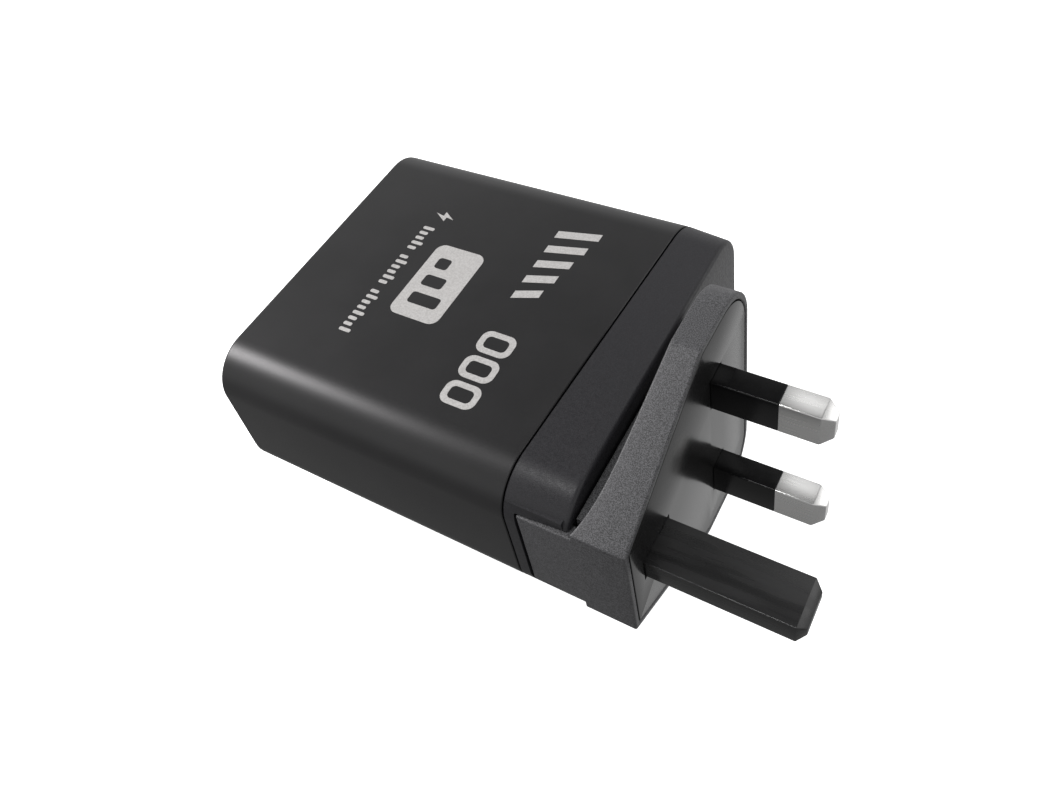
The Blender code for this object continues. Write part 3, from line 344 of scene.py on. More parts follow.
# ---- outlines in the YZ plane, counter-clockwise seen from +X -----------------------------------
def inset(corners, depth):
    """Move every side of a convex outline of (y, z, radius) corners in by depth."""
    moved = []
    count = len(corners)
    for index in range(count):
        before = Vector(corners[index - 1][:2])
        here = Vector(corners[index][:2])
        after = Vector(corners[(index + 1) % count][:2])
        along_in = (here - before).normalized()
        along_out = (after - here).normalized()
        normal_in = Vector((-along_in.y, along_in.x))
        normal_out = Vector((-along_out.y, along_out.x))
        mitre = (normal_in + normal_out) / (1 + normal_in.dot(normal_out))
        spot = here + depth * mitre
        moved.append((spot.x, spot.y, max(corners[index][2] - depth, 0.05)))
    return moved


def filleted(corners, steps=FINE_STEPS, side_cuts=0):
    """Turn (y, z, radius) corners into outline points; side_cuts divides the sides that run in Y."""
    points = []
    count = len(corners)
    for index in range(count):
        here = Vector(corners[index][:2])
        radius = corners[index][2]
        to_before = (Vector(corners[index - 1][:2]) - here).normalized()
        to_after = (Vector(corners[(index + 1) % count][:2]) - here).normalized()
        half_angle = to_before.angle(to_after) / 2
        centre = here + (to_before + to_after).normalized() * radius / sin(half_angle)
        turn = pi - 2 * half_angle
        start = here + to_before * (radius / tan(half_angle)) - centre
        for step in range(steps + 1):
            angle = turn * step / steps
            spot = centre + Vector((start.x * cos(angle) - start.y * sin(angle),
                                    start.x * sin(angle) + start.y * cos(angle)))
            points.append((spot.x, spot.y))
    if not side_cuts:
        return points
    dense = []
    for index, point in enumerate(points):
        dense.append(point)
        following = points[(index + 1) % len(points)]
        ends_corner = (index + 1) % (steps + 1) == 0
        if ends_corner and abs(following[0] - point[0]) > 1:
            for cut_index in range(1, side_cuts + 1):
                share = cut_index / (side_cuts + 1)
                dense.append((point[0] + (following[0] - point[0]) * share,
                              point[1] + (following[1] - point[1]) * share))
    return dense


def rectangle(half_y, half_z, radius):
    return [(half_y, half_z, radius), (-half_y, half_z, radius),
            (-half_y, -half_z, radius), (half_y, -half_z, radius)]


def body_outline(depth=0.0):
    return filleted(inset(rectangle(HALF_WIDTH, HALF_THICKNESS, EDGE_RADIUS), depth))


def stadium(half_y, half_z):
    return filleted(rectangle(half_y, half_z, half_z * 0.999), steps=10)


def head_corners():
    """The plug head's keystone outline: narrow at the earth pin, wide at the other two."""
    return [(HEAD_EARTH_Y, -HEAD_EARTH_HALF, 0.3),
            (HEAD_BREAK_Y, -HEAD_HALF_WIDTH, HEAD_BREAK_RADIUS),
            (HEAD_FAR_Y, -HEAD_HALF_WIDTH, HEAD_FAR_RADIUS),
            (HEAD_FAR_Y, HEAD_HALF_WIDTH, HEAD_FAR_RADIUS),
            (HEAD_BREAK_Y, HEAD_HALF_WIDTH, HEAD_BREAK_RADIUS),
            (HEAD_EARTH_Y, HEAD_EARTH_HALF, 0.3)]


def head_depth(y):
    """Thickness of the head at y: constant, then swept back towards the earth end."""
    share = min(max((HEAD_BREAK_Y - y) / (HEAD_BREAK_Y - HEAD_EARTH_Y), 0.0), 1.0)
    return HEAD_THICKNESS + SCALLOP_SLOPE * share + SCALLOP_SWEEP * share ** SCALLOP_POWER


# ---- mesh building -------------------------------------------------------------------------------
def link(made):
    bpy.context.scene.collection.objects.link(made)
    return made


def finish_mesh(name, data, look, smooth_angle=32):
    """Turn bmesh geometry in millimetres into a smooth-shaded object in metres."""
    bmesh.ops.scale(data, vec=(MM, MM, MM), verts=data.verts)
    bmesh.ops.recalc_face_normals(data, faces=data.faces)
    mesh = bpy.data.meshes.new(name)
    data.to_mesh(mesh)
    data.free()
    mesh.shade_smooth()
    mesh.set_sharp_from_angle(angle=radians(smooth_angle))
    if look is not None:
        mesh.materials.append(look)
    return link(bpy.data.objects.new(name, mesh))


def skin(name, rings, look=None, closed=False, mirrored=False, cup_at=None):
    """Skin equal rings of points.

    closed joins the last ring to the first. With cup_at, that ring and the next are closed off
    instead of joined, which makes a cup.
    """
    data = bmesh.new()
    rows = [[data.verts.new(point) for point in ring] for ring in rings]
    count = len(rows[0])
    joins = [(index, index + 1) for index in range(len(rows) - 1) if index != cup_at]
    if closed:
        joins.append((len(rows) - 1, 0))
    for first, second in joins:
        for index in range(count):
            beside = (index + 1) % count
            data.faces.new((rows[first][index], rows[first][beside],
                            rows[second][beside], rows[second][index]))
    ends = [] if closed else [rows[0], rows[-1]]
    if cup_at is not None:
        ends = [rows[cup_at], rows[cup_at + 1]]
    for row in ends:
        if mirrored:
            close_mirrored(data, row)
        else:
            data.faces.new(row)
    return finish_mesh(name, data, look)


def close_mirrored(data, row):
    """Close a ring that is symmetric in Z with strips between mirrored points."""
    upper = sorted((vert for vert in row if vert.co.z > 0), key=lambda vert: vert.co.y)
    lower = sorted((vert for vert in row if vert.co.z < 0), key=lambda vert: vert.co.y)
    for index in range(len(upper) - 1):
        data.faces.new((upper[index], upper[index + 1], lower[index + 1], lower[index]))


def ring_at(x, outline, skew=0.0):
    return [(x + skew * y, y, z) for y, z in outline]


def edge_arc(radius, steps=5):
    """(inset, distance from the face) pairs that round a rim between side and face."""
    return [(radius * (1 - cos(pi / 2 * step / steps)), radius * (1 - sin(pi / 2 * step / steps)))
            for step in range(steps + 1)]


def block(name, low, high, look=None, bevel=0.0, segments=3):
    data = bmesh.new()
    bmesh.ops.create_cube(data, size=1.0)
    size = [b - a for a, b in zip(low, high)]
    centre = Vector([(a + b) / 2 for a, b in zip(low, high)])
    bmesh.ops.scale(data, vec=size, verts=data.verts)
    bmesh.ops.translate(data, vec=centre, verts=data.verts)
    if bevel:
        bmesh.ops.bevel(data, geom=data.edges[:], offset=bevel, segments=segments, profile=0.5,
                        affect="EDGES")
    return finish_mesh(name, data, look)


def prism(name, outline, x_low, x_high, look=None):
    return skin(name, [ring_at(x_low, outline), ring_at(x_high, outline)], look)


def apply_boolean(target, other, operation):
    step = target.modifiers.new("step", "BOOLEAN")
    step.operation = operation
    step.object = other
    step.solver = "EXACT"
    graph = bpy.context.evaluated_depsgraph_get()
    result = bpy.data.meshes.new_from_object(target.evaluated_get(graph))
    target.modifiers.remove(step)
    previous = target.data
    target.data = result
    bpy.data.meshes.remove(previous)
    bpy.data.objects.remove(other, do_unlink=True)


def cut(target, cutter):
    apply_boolean(target, cutter, "DIFFERENCE")


def add(target, addition):
    apply_boolean(target, addition, "UNION")


def soften(piece, angle=32):
    """Shade a piece smooth again after its Booleans."""
    piece.data.shade_smooth()
    piece.data.set_sharp_from_angle(angle=radians(angle))


def settle(piece, body, slot, *nodes):
    """Ride on a body and stand for CAD nodes; slot is not used."""
    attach(piece, body)
    if nodes:
        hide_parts(*nodes)
    return piece


# ---- housing ------------------------------------------------------------------------------------------
def make_sleeve(look):
    """Rounded tube with a soft rim at the USB end and a crisp one at the parting line."""
    seam = SEAM_X - GAP / 2
    ledge_start = PANEL_BACK_X + GAP
    ledge_end = ledge_start + LEDGE_DEPTH
    inner_bevel = 0.1
    rings = [ring_at(seam, body_outline(CRISP_EDGE), SEAM_SKEW),
             ring_at(seam - CRISP_EDGE, body_outline(), SEAM_SKEW)]
    for depth, off in edge_arc(OUTER_ROUND, 6):
        rings.append(ring_at(USB_END_X + off, body_outline(depth)))
    rings += [ring_at(USB_END_X, body_outline(WALL - inner_bevel)),
              ring_at(USB_END_X + inner_bevel, body_outline(WALL)),
              ring_at(ledge_start, body_outline(WALL)),
              ring_at(ledge_start, body_outline(LEDGE)),
              ring_at(ledge_end, body_outline(LEDGE)),
              ring_at(ledge_end, body_outline(WALL)),
              ring_at(seam, body_outline(WALL), SEAM_SKEW)]
    sleeve = skin("sleeve_skin", rings, look, closed=True)
    return settle(sleeve, "housing", "satin_black", "body_sleeve")


def make_end_cap(look):
    """Tapered cap with the foot's recess, the slide rail and the two blade slots."""
    seam = SEAM_X + GAP / 2
    rings = [ring_at(CAP_LOW.x, body_outline(LIP_OUTER)),
             ring_at(seam, body_outline(LIP_OUTER), SEAM_SKEW),
             ring_at(seam, body_outline(CRISP_EDGE), SEAM_SKEW),
             ring_at(seam + CRISP_EDGE, body_outline(), SEAM_SKEW)]
    for depth, off in edge_arc(OUTER_ROUND, 6):
        rings.append(ring_at(CAP_END_X - off, body_outline(CAP_TAPER + depth)))
    end_face = len(rings) - 1
    rings += [ring_at(CAP_END_X - CAP_END_WALL, body_outline(LIP_INNER)),
              ring_at(CAP_LOW.x, body_outline(LIP_INNER))]
    cap = skin("cap_skin", rings, look, closed=True, cup_at=end_face)
    cut_foot_recess(cap)
    add_rail(cap)
    for side in (1, -1):
        slot_z = side * BLADE_Z
        cut(cap, block("slot", (CAP_END_X - 4, BLADE_LOW.y - GAP, slot_z - BLADE_HALF - GAP),
                       (CAP_END_X + 2, BLADE_HIGH.y + GAP, slot_z + BLADE_HALF + GAP)))
    soften(cap)
    return settle(cap, "housing", "textured_black", "end_cap")


def cut_foot_recess(cap):
    """Recess in the cap's side for the plug head's foot, with a wall behind it."""
    recess_y = HEAD_EARTH_Y + FOOT_THICKNESS + GAP
    recess_half = FOOT_HALF_WIDTH + GAP
    recess_x = FOOT_X - GAP
    backing = 1.5
    reach = 3
    add(cap, block("pad", (recess_x - backing, -HALF_WIDTH + WALL / 2, -recess_half - backing),
                   (CAP_END_X - CAP_END_WALL / 2, recess_y + backing, recess_half + backing)))
    cut(cap, block("recess", (recess_x, -HALF_WIDTH - reach, -recess_half),
                   (CAP_END_X + reach, recess_y, recess_half), bevel=0.25))


def add_rail(cap):
    """T-shaped rail that the plug head slides on."""
    stem_top = CAP_END_X + RAIL_STEM
    overlap = 0.7
    add(cap, block("stem", (CAP_END_X - OVERRUN, RAIL_EARTH_Y, -RAIL_STEM_HALF),
                   (stem_top + overlap, RAIL_FAR_Y, RAIL_STEM_HALF)))
    add(cap, block("rail", (stem_top, RAIL_EARTH_Y, -RAIL_HEAD_HALF),
                   (CAP_HIGH.x, RAIL_FAR_Y, RAIL_HEAD_HALF), bevel=0.2))


def make_port_panel(look):
    """Gloss plate let into the USB end, with a chamfered opening for the socket."""
    rim = 0.25
    rings = [ring_at(PANEL_BACK_X, body_outline(WALL + GAP))]
    for depth, off in edge_arc(rim, 4):
        rings.append(ring_at(PANEL_LOW.x + off, body_outline(WALL + GAP + depth)))
    panel = skin("panel_skin", rings, look)
    port_room = GAP * 0.4
    half_y = PORT_HIGH.y + port_room
    half_z = PORT_HIGH.z + port_room
    flare = 0.35
    mouth = stadium(half_y + 2 * flare, half_z + 2 * flare)
    cut(panel, skin("opening", [ring_at(PANEL_LOW.x - flare, mouth),
                                ring_at(PANEL_LOW.x + flare, stadium(half_y, half_z)),
                                ring_at(PANEL_BACK_X + OVERRUN, stadium(half_y, half_z))]))
    soften(panel)
    return settle(panel, "housing", "gloss_black", "port_panel")


def make_usb_socket(steel, plastic, gold):
    """Drawn steel shell with a rolled mouth, and the tongue with its gold contacts."""
    half_y, half_z = PORT_HIGH.y, PORT_HIGH.z
    sheet = 0.3
    roll = 0.12
    rings = [ring_at(PORT_HIGH.x, stadium(half_y, half_z)),
             ring_at(PORT_LOW.x + roll, stadium(half_y, half_z)),
             ring_at(PORT_LOW.x, stadium(half_y - roll, half_z - roll)),
             ring_at(PORT_LOW.x + roll, stadium(half_y - sheet, half_z - sheet)),
             ring_at(PORT_HIGH.x, stadium(half_y - sheet, half_z - sheet))]
    shell = skin("socket_shell", rings, steel, closed=True)
    settle(shell, "housing", "steel", "usb_c_shell")
    NODES["usb_c_tongue"].data.materials.clear()
    NODES["usb_c_tongue"].data.materials.append(plastic)
    pitch, count = 0.5, 12
    contact = Vector((2.9, 0.26, 0.03))
    setback = 0.5
    height = 0.36
    for side, label in ((1, "upper"), (-1, "lower")):
        data = bmesh.new()
        for index in range(count):
            y = (index - (count - 1) / 2) * pitch
            made = bmesh.ops.create_cube(data, size=1.0)["verts"]
            spot = (TONGUE_LOW.x + setback + contact.x / 2, y, side * height)
            bmesh.ops.scale(data, vec=contact, verts=made)
            bmesh.ops.translate(data, vec=spot, verts=made)
        settle(finish_mesh("socket_contacts_" + label, data, gold), "housing", "brass")


# ---- plug head ----------------------------------------------------------------------------------------
def head_outline(depth=0.0):
    return filleted(inset(head_corners(), depth), steps=10, side_cuts=18)


def make_plug_shell(look):
    """Keystone slab with softened rims, swept back, neck, foot, slot and channels."""
    rim = 0.35
    back_rim = 0.3
    neck_root = 1.15
    foot_step = 0.02
    rings = []
    for depth, off in reversed(edge_arc(rim, 5)):
        rings.append(ring_at(-off, head_outline(depth)))
    for depth, off in edge_arc(back_rim, 4):
        rings.append([(-head_depth(y) + off, y, z) for y, z in head_outline(depth)])
    shell = skin("shell_skin", rings, look, mirrored=True)
    add(shell, block("neck", (CAP_END_X + GAP, NECK_EARTH_Y, -NECK_HALF_WIDTH),
                     (-HEAD_THICKNESS + neck_root, NECK_FAR_Y, NECK_HALF_WIDTH)))
    add(shell, block("foot", (FOOT_X, HEAD_EARTH_Y + foot_step, -FOOT_HALF_WIDTH),
                     (-HEAD_THICKNESS, HEAD_EARTH_Y + FOOT_THICKNESS, FOOT_HALF_WIDTH), bevel=0.3))
    chamfer = 0.16
    pocket = inset(head_corners(), RIM_WIDTH)
    opened = inset(head_corners(), RIM_WIDTH - 2 * chamfer)
    cut(shell, skin("pocket", [ring_at(chamfer, filleted(opened)), ring_at(-chamfer, filleted(pocket)),
                               ring_at(PLATE_LOW.x - GAP, filleted(pocket))]))
    cavity = filleted(inset(head_corners(), CAVITY_INSET))
    cut(shell, prism("cavity", cavity, CAVITY_X, OVERRUN / 2))
    cut_slide_slot(shell)
    cut_channels(shell)
    soften(shell)
    return settle(shell, "plug_head", "textured_black", "plug_shell")


def cut_slide_slot(shell):
    """T-shaped slot for the cap's rail, open at the neck's far end."""
    lip_x = CAP_END_X + RAIL_STEM - GAP
    low_y = RAIL_EARTH_Y - GAP
    high_y = NECK_FAR_Y + OVERRUN
    cut(shell, block("mouth", (CAP_END_X - 2 * OVERRUN, low_y, -RAIL_STEM_HALF - GAP),
                     (lip_x + SINK, high_y, RAIL_STEM_HALF + GAP)))
    cut(shell, block("slot", (lip_x, low_y, -RAIL_HEAD_HALF - GAP),
                     (CAP_HIGH.x + GAP, high_y, RAIL_HEAD_HALF + GAP)))


def cut_channels(shell):
    """Channels for the cap's blades, with windows for the spring leaves."""
    floor_x = BLADE_HIGH.x + GAP
    for side in (1, -1):
        low_z, high_z = sorted((side * CHANNEL_INNER, side * CHANNEL_OUTER))
        cut(shell, block("channel", (CAP_END_X - 2 * OVERRUN, BLADE_LOW.y - GAP, low_z),
                         (floor_x, NECK_FAR_Y + OVERRUN, high_z)))
        cut(shell, block("window", (floor_x - SINK, -WINDOW_HALF_Y, low_z),
                         (CAVITY_X + SINK, WINDOW_HALF_Y, high_z)))


def make_pin_plate(look):
    """Smooth plate inside the rim, a hair below it, with close openings for the pins."""
    rim = 0.14
    bulge = rim * 0.3
    outline = inset(head_corners(), RIM_WIDTH + GAP * 0.75)
    rings = [ring_at(PLATE_LOW.x, filleted(outline)), ring_at(PLATE_FACE - rim, filleted(outline))]
    rings.append(ring_at(PLATE_FACE - bulge, filleted(inset(outline, bulge))))
    rings.append(ring_at(PLATE_FACE, filleted(inset(outline, rim))))
    plate = skin("plate_skin", rings, look)
    power_room = 0.08
    earth_room = 0.28
    for y, z, half_y, half_z, room in ((0, PIN_Z, PIN_HALF, POWER_HALF_Z, power_room),
                                       (0, -PIN_Z, PIN_HALF, POWER_HALF_Z, power_room),
                                       (EARTH_Y, 0, EARTH_HALF_Y, PIN_HALF, earth_room)):
        cut(plate, pin_hole(y, z, half_y + room, half_z + room))
    soften(plate)
    return settle(plate, "plug_head", "matte_black", "pin_plate")


def pin_hole(y, z, half_y, half_z):
    """Square cutter with a small flare at the plate's face."""
    flare = 0.12
    front = 0.3
    rings = []
    for x, grow in ((front, flare + front), (PLATE_FACE - flare, 0.0),
                    (PLATE_LOW.x - OVERRUN, 0.0)):
        rings.append([(x, y + a * (half_y + grow), z + b * (half_z + grow))
                      for a, b in ((1, 1), (-1, 1), (-1, -1), (1, -1))])
    return skin("hole", rings)


def pin_ring(x, centre, half_y, half_z, radius):
    """Rounded-square ring of a pin, centred on its axis."""
    radius = min(radius, half_y * 0.9, half_z * 0.9)
    outline = filleted(rectangle(half_y, half_z, radius), steps=4)
    return [(x, centre[0] + y, centre[1] + z) for y, z in outline]


def pin_rings(profile, centre, half_y, half_z, radius):
    """Rings of a pin from (x, depth drawn in on every side) pairs."""
    return [pin_ring(x, centre, half_y - depth, half_z - depth, radius) for x, depth in profile]


def make_power_pins(metal_look, plastic_look):
    """Plated blades with bevelled tips, and their moulded sleeves."""
    edge = 0.22
    tip = LINE_HIGH.x
    shoulder = tip - POWER_TIP_LENGTH
    flange_x = LINE_LOW.x
    core = PIN_SLEEVE_WALL + 0.12
    plated = ((flange_x, -PIN_FLANGE), (flange_x + PIN_FLANGE, -PIN_FLANGE),
              (flange_x + PIN_FLANGE, core), (SLEEVE_END_X + 0.02, core),
              (SLEEVE_END_X + 0.02, 0.05), (SLEEVE_END_X + 0.08, 0.0), (shoulder - 0.12, 0.0),
              (shoulder + 0.1, 0.09), (tip - 0.1, 1.06), (tip, 1.18))
    moulded_on = ((PLATE_LOW.x, 0.0), (SLEEVE_END_X - 0.06, 0.0), (SLEEVE_END_X, 0.05),
                  (SLEEVE_END_X, PIN_SLEEVE_WALL), (PLATE_LOW.x, PIN_SLEEVE_WALL))
    for label, side in (("line", 1), ("neutral", -1)):
        centre = (0.0, side * PIN_Z)
        rings = pin_rings(plated, centre, PIN_HALF, POWER_HALF_Z, edge)
        settle(skin(label + "_pin_plated", rings, metal_look), "plug_head", "nickel", label + "_pin")
        rings = pin_rings(moulded_on, centre, PIN_HALF, POWER_HALF_Z, edge)
        settle(skin(label + "_sleeve_skin", rings, plastic_look, closed=True), "plug_head",
               "gloss_black", label + "_pin_sleeve")


def make_earth_pin(look):
    """All-plastic earth pin with a stepped root and a bevelled tip."""
    edge = 0.18
    centre = (EARTH_Y, 0.0)
    tip = EARTH_HIGH.x
    shoulder = tip - 1.25
    root = ((EARTH_LOW.x, -PIN_FLANGE), (EARTH_LOW.x + PIN_FLANGE, -PIN_FLANGE),
            (EARTH_LOW.x + PIN_FLANGE, 0.0), (shoulder, 0.0))
    rings = pin_rings(root, centre, EARTH_HALF_Y, PIN_HALF, edge)
    rings += [
        pin_ring(tip - 1.13, centre, EARTH_HALF_Y - 0.06, PIN_HALF - 0.08, edge),
        pin_ring(tip - 0.06, centre, EARTH_HALF_Y - 1.0, PIN_HALF - 1.1, edge),
        pin_ring(tip, centre, EARTH_HALF_Y - 1.1, PIN_HALF - 1.2, edge),
    ]
    settle(skin("earth_pin_skin", rings, look), "plug_head", "pin_black", "earth_pin")


# ---- print on the sleeve: plain shapes in place of words ---------------------------------------
INK_DEPTH = 0.03        # the ink stands this far out of the printed face
INK_SUNK = 0.05
CUTTER_HALF = 1.0       # the ink's cutters reach this far to both sides of the face
BADGE_CENTRE = (-49.2, -0.3)
BADGE_SIZE = (9.7, 16.8, 1.7)           # X, Y and corner radius
BADGE_BARS = ((4.2, 2.6), (0.0, 4.2), (-4.2, 5.8))      # Y from the centre, and length
BADGE_BAR_FOOT = -2.9
BADGE_BAR_WIDTH = 2.5
BADGE_BAR_RADIUS = 0.6
TICK_GROUPS = (5, 6, 8)
TICK_START = (-59.4, 10.6)
TICK_PITCH = 1.3
TICK_GROUP_GAP = 1.1
TICK_LENGTH = 1.7
TICK_LONG = 2.3
TICK_WIDTH = 0.72
TICK_RADIUS = 0.3
BOLT_CENTRE = (-57.2, 14.3)
BOLT_HALF = (2.0, 1.6)
BOLT_SHAPE = ((0.2, 1.0), (-0.7, -0.15), (-0.05, -0.15), (-0.25, -1.0), (0.7, 0.22), (0.05, 0.22))
STRIPE_COUNT = 5
STRIPE_START = (-35.8, 18.3)
STRIPE_PITCH = 3.75
STRIPE_LENGTH = 7.6
STRIPE_SHORTER = 0.8    # each stripe is this much shorter than the one before
STRIPE_WIDTH = 1.7
STRIPE_RISE = 1.7
FRAME_COUNT = 3
FRAME_START = (-32.8, -8.1)
FRAME_PITCH = 5.3
FRAME_OUTSIDE = (6.2, 4.5, 1.6)
FRAME_INSIDE = (4.1, 2.4, 0.8)


def stamp(name, outline, look=None, low=-INK_SUNK, high=INK_DEPTH):
    """Flat prism over an (x, y) outline, from low to high about the printed face."""
    data = bmesh.new()
    rows = [[data.verts.new((x, y, HALF_THICKNESS + z)) for x, y in outline] for z in (low, high)]
    data.faces.new(rows[0])
    data.faces.new(rows[1])
    count = len(outline)
    for index in range(count):
        beside = (index + 1) % count
        data.faces.new((rows[0][index], rows[0][beside], rows[1][beside], rows[1][index]))
    return finish_mesh(name, data, look)


def pill(x, y, length_x, length_y, radius):
    """Rounded rectangle centred on (x, y)."""
    corners = rectangle(length_x / 2, length_y / 2, radius)
    return [(x + a, y + b) for a, b in filleted(corners, steps=6)]


def printed(piece):
    piece.data.shade_flat()
    return settle(piece, "housing", "nickel")


def opening(piece, outline):
    cut(piece, stamp("opening", outline, None, -CUTTER_HALF, CUTTER_HALF))


def make_badge(look):
    """Filled badge with three rising bars left open."""
    middle_x, middle_y = BADGE_CENTRE
    badge = stamp("print_badge", pill(middle_x, middle_y, *BADGE_SIZE), look)
    for offset, length in BADGE_BARS:
        bar_x = middle_x + BADGE_BAR_FOOT + length / 2
        opening(badge, pill(bar_x, middle_y + offset, length, BADGE_BAR_WIDTH, BADGE_BAR_RADIUS))
    printed(badge)


def make_caption(look):
    """Row of small upright ticks in three groups, every third one longer."""
    foot_x, y = TICK_START
    number = 0
    for ticks in TICK_GROUPS:
        for _ in range(ticks):
            number += 1
            length = TICK_LONG if number % 3 == 1 else TICK_LENGTH
            tick = pill(foot_x + length / 2, y, length, TICK_WIDTH, TICK_RADIUS)
            printed(stamp("print_tick_%02d" % number, tick, look))
            y -= TICK_PITCH
        y -= TICK_GROUP_GAP


def make_bolt(look):
    """Lightning bolt, the usual sign for charging."""
    shape = [(BOLT_CENTRE[0] + BOLT_HALF[0] * up, BOLT_CENTRE[1] - BOLT_HALF[1] * across)
             for across, up in BOLT_SHAPE]
    printed(stamp("print_bolt", shape, look))


def make_stripes(look):
    """Slanted stripes that shorten towards the near side."""
    low_x = STRIPE_START[0]
    for index in range(STRIPE_COUNT):
        high_y = STRIPE_START[1] - STRIPE_PITCH * index - 0.2
        low_y = high_y - STRIPE_WIDTH
        high_x = low_x + STRIPE_LENGTH - STRIPE_SHORTER * index
        shape = [(low_x, low_y), (low_x, high_y), (high_x, high_y + STRIPE_RISE),
                 (high_x, low_y + STRIPE_RISE)]
        printed(stamp("print_stripe_%d" % (index + 1), shape, look))


def make_frames(look):
    """Three rounded frames in a row."""
    for index in range(FRAME_COUNT):
        place = (FRAME_START[0], FRAME_START[1] - FRAME_PITCH * index)
        frame_print = stamp("print_frame_%d" % (index + 1), pill(*place, *FRAME_OUTSIDE), look)
        opening(frame_print, pill(*place, *FRAME_INSIDE))
        printed(frame_print)


# ---- what is inside, and the metal that shows when the head is off -------------------------------
def make_inner_looks(brass_look):
    """Give each CAD node that stays its own finish."""
    copper_wire = banded("copper_wire", (0.42, 0.15, 0.07), (0.72, 0.33, 0.18), 0.45, "Z", 0.3, 0.9)
    yellow_tape = banded("yellow_tape", (0.52, 0.36, 0.03), (0.70, 0.52, 0.06), 5.0, "Z", 0.3)
    black_epoxy = speckled("black_epoxy", (0.010, 0.010, 0.011), (0.018, 0.018, 0.019), 0.5, 0.25)
    grey_ferrite = speckled("grey_ferrite", (0.030, 0.030, 0.033), (0.060, 0.060, 0.064), 0.6, 0.4)
    can_metal = metal("can_metal", (0.62, 0.62, 0.63), (0.74, 0.74, 0.75), 0.3)
    board = circuit_board()
    looks = {
        "main_board": board, "usb_card": board,
        "sync_rectifier": black_epoxy, "pd_controller": black_epoxy,
        "bridge_rectifier": black_epoxy, "power_switch": black_epoxy, "fuse": black_epoxy,
        "bulk_capacitor_1": black_epoxy, "bulk_capacitor_2": black_epoxy,
        "transformer_core_lower": grey_ferrite, "transformer_core_upper": grey_ferrite,
        "choke_core": grey_ferrite,
        "thermistor": speckled("dipped_green", (0.02, 0.05, 0.02), (0.04, 0.08, 0.035), 0.45, 0.5),
        "y_capacitor": speckled("dipped_blue", (0.012, 0.07, 0.27), (0.03, 0.13, 0.42), 0.35, 0.6),
        "x_capacitor": yellow_tape, "transformer_winding": yellow_tape,
        "transformer_bobbin": speckled("cream_nylon", (0.55, 0.51, 0.40), (0.66, 0.62, 0.5), 0.45, 0.5),
        "choke_winding_line": copper_wire, "choke_winding_neutral": copper_wire,
        "heat_spreader": metal("copper_sheet", (0.55, 0.24, 0.13), (0.75, 0.38, 0.22), 0.32),
        "switch_heat_plate": can_metal,
        "output_capacitor_1": can_metal, "output_capacitor_2": can_metal,
        "insulating_film": speckled("grey_film", (0.25, 0.26, 0.28), (0.34, 0.35, 0.37), 0.35, 1.5),
        "thermal_pad": speckled("pink_pad", (0.48, 0.27, 0.30), (0.60, 0.38, 0.41), 0.7, 0.3),
        "lead_line": speckled("red_lead", (0.36, 0.025, 0.02), (0.48, 0.05, 0.035), 0.42, 0.5),
        "lead_neutral": speckled("blue_lead", (0.02, 0.06, 0.30), (0.04, 0.10, 0.42), 0.42, 0.5),
        "ac_blade_line": brass_look, "ac_blade_neutral": brass_look,
        "line_contact": brass_look, "neutral_contact": brass_look,
    }
    for node, look in looks.items():
        mesh = NODES[node].data
        mesh.materials.clear()
        mesh.materials.append(look)


# ---- camera, lights and floor ---------------------------------------------------------------------
IMAGE_WIDTH = 1056
FOCAL_PIXELS = 979.37
SENSOR_WIDTH = 36.0
CAMERA_SHIFT = (0.0355, -0.0993)
CAMERA_PLACE = (36.30, -83.05, 129.02)  # millimetres
CAMERA_BACK = (0.47109, -0.52416, 0.70946)
CAMERA_UP = (-0.26647, 0.68216, 0.68092)
NEAR_CLIP = 0.005

# position and target in metres, size, power, colour
NEUTRAL = (1, 1, 1)
FACE_MIDDLE = (-0.03, 0.0, 0.0)
PIN_ROOTS = (0, 0, 0)
LAMPS = {
    "key": ((-0.78, -0.165, 0.58), FACE_MIDDLE, (0.30, 0.34), 5.8, (1.0, 0.975, 0.99)),
    "back": ((0.08, 0.55, 0.78), PIN_ROOTS, (0.40, 0.30), 0.36, NEUTRAL),
    "right": ((0.80, 0.48, 0.20), PIN_ROOTS, (0.5, 0.5), 0.8, NEUTRAL),
    "edge": ((-0.12, -0.22, 0.88), FACE_MIDDLE, (0.16, 0.16), 1.3, NEUTRAL),
}
CEILING_POWER = 1.3
CEILING_SPREAD = 100    # degrees
CEILING_TILT = -8       # degrees

# the world's level by height: 0 is straight down, 1 is straight up
SKY_LEVELS = ((0.0, 0.20), (0.40, 0.26), (0.58, 0.80), (0.80, 0.50), (0.90, 0.18), (1.0, 0.12))
FAR_LOW_LEVEL = 0.66    # below the horizon on the far side, which the pin plate mirrors
FAR_LOW_Y = (-0.1, 0.5)  # that part comes in over these directions
FAR_LOW_Z = (0.0, -0.3)
FLOOR_HALF = 6.0


def make_camera():
    """Stands above the near side, past the pins, and looks down along the body."""
    lens = bpy.data.cameras.new("camera")
    lens.sensor_width = SENSOR_WIDTH
    lens.lens = FOCAL_PIXELS / IMAGE_WIDTH * SENSOR_WIDTH
    lens.shift_x, lens.shift_y = CAMERA_SHIFT
    lens.clip_start = NEAR_CLIP
    camera = link(bpy.data.objects.new("camera", lens))
    back = Vector(CAMERA_BACK).normalized()
    right = Vector(CAMERA_UP).cross(back).normalized()
    up = back.cross(right)
    turn = Matrix((right, up, back)).transposed().to_4x4()
    camera.matrix_world = Matrix.Translation(Vector(CAMERA_PLACE) * MM) @ turn
    bpy.context.scene.camera = camera


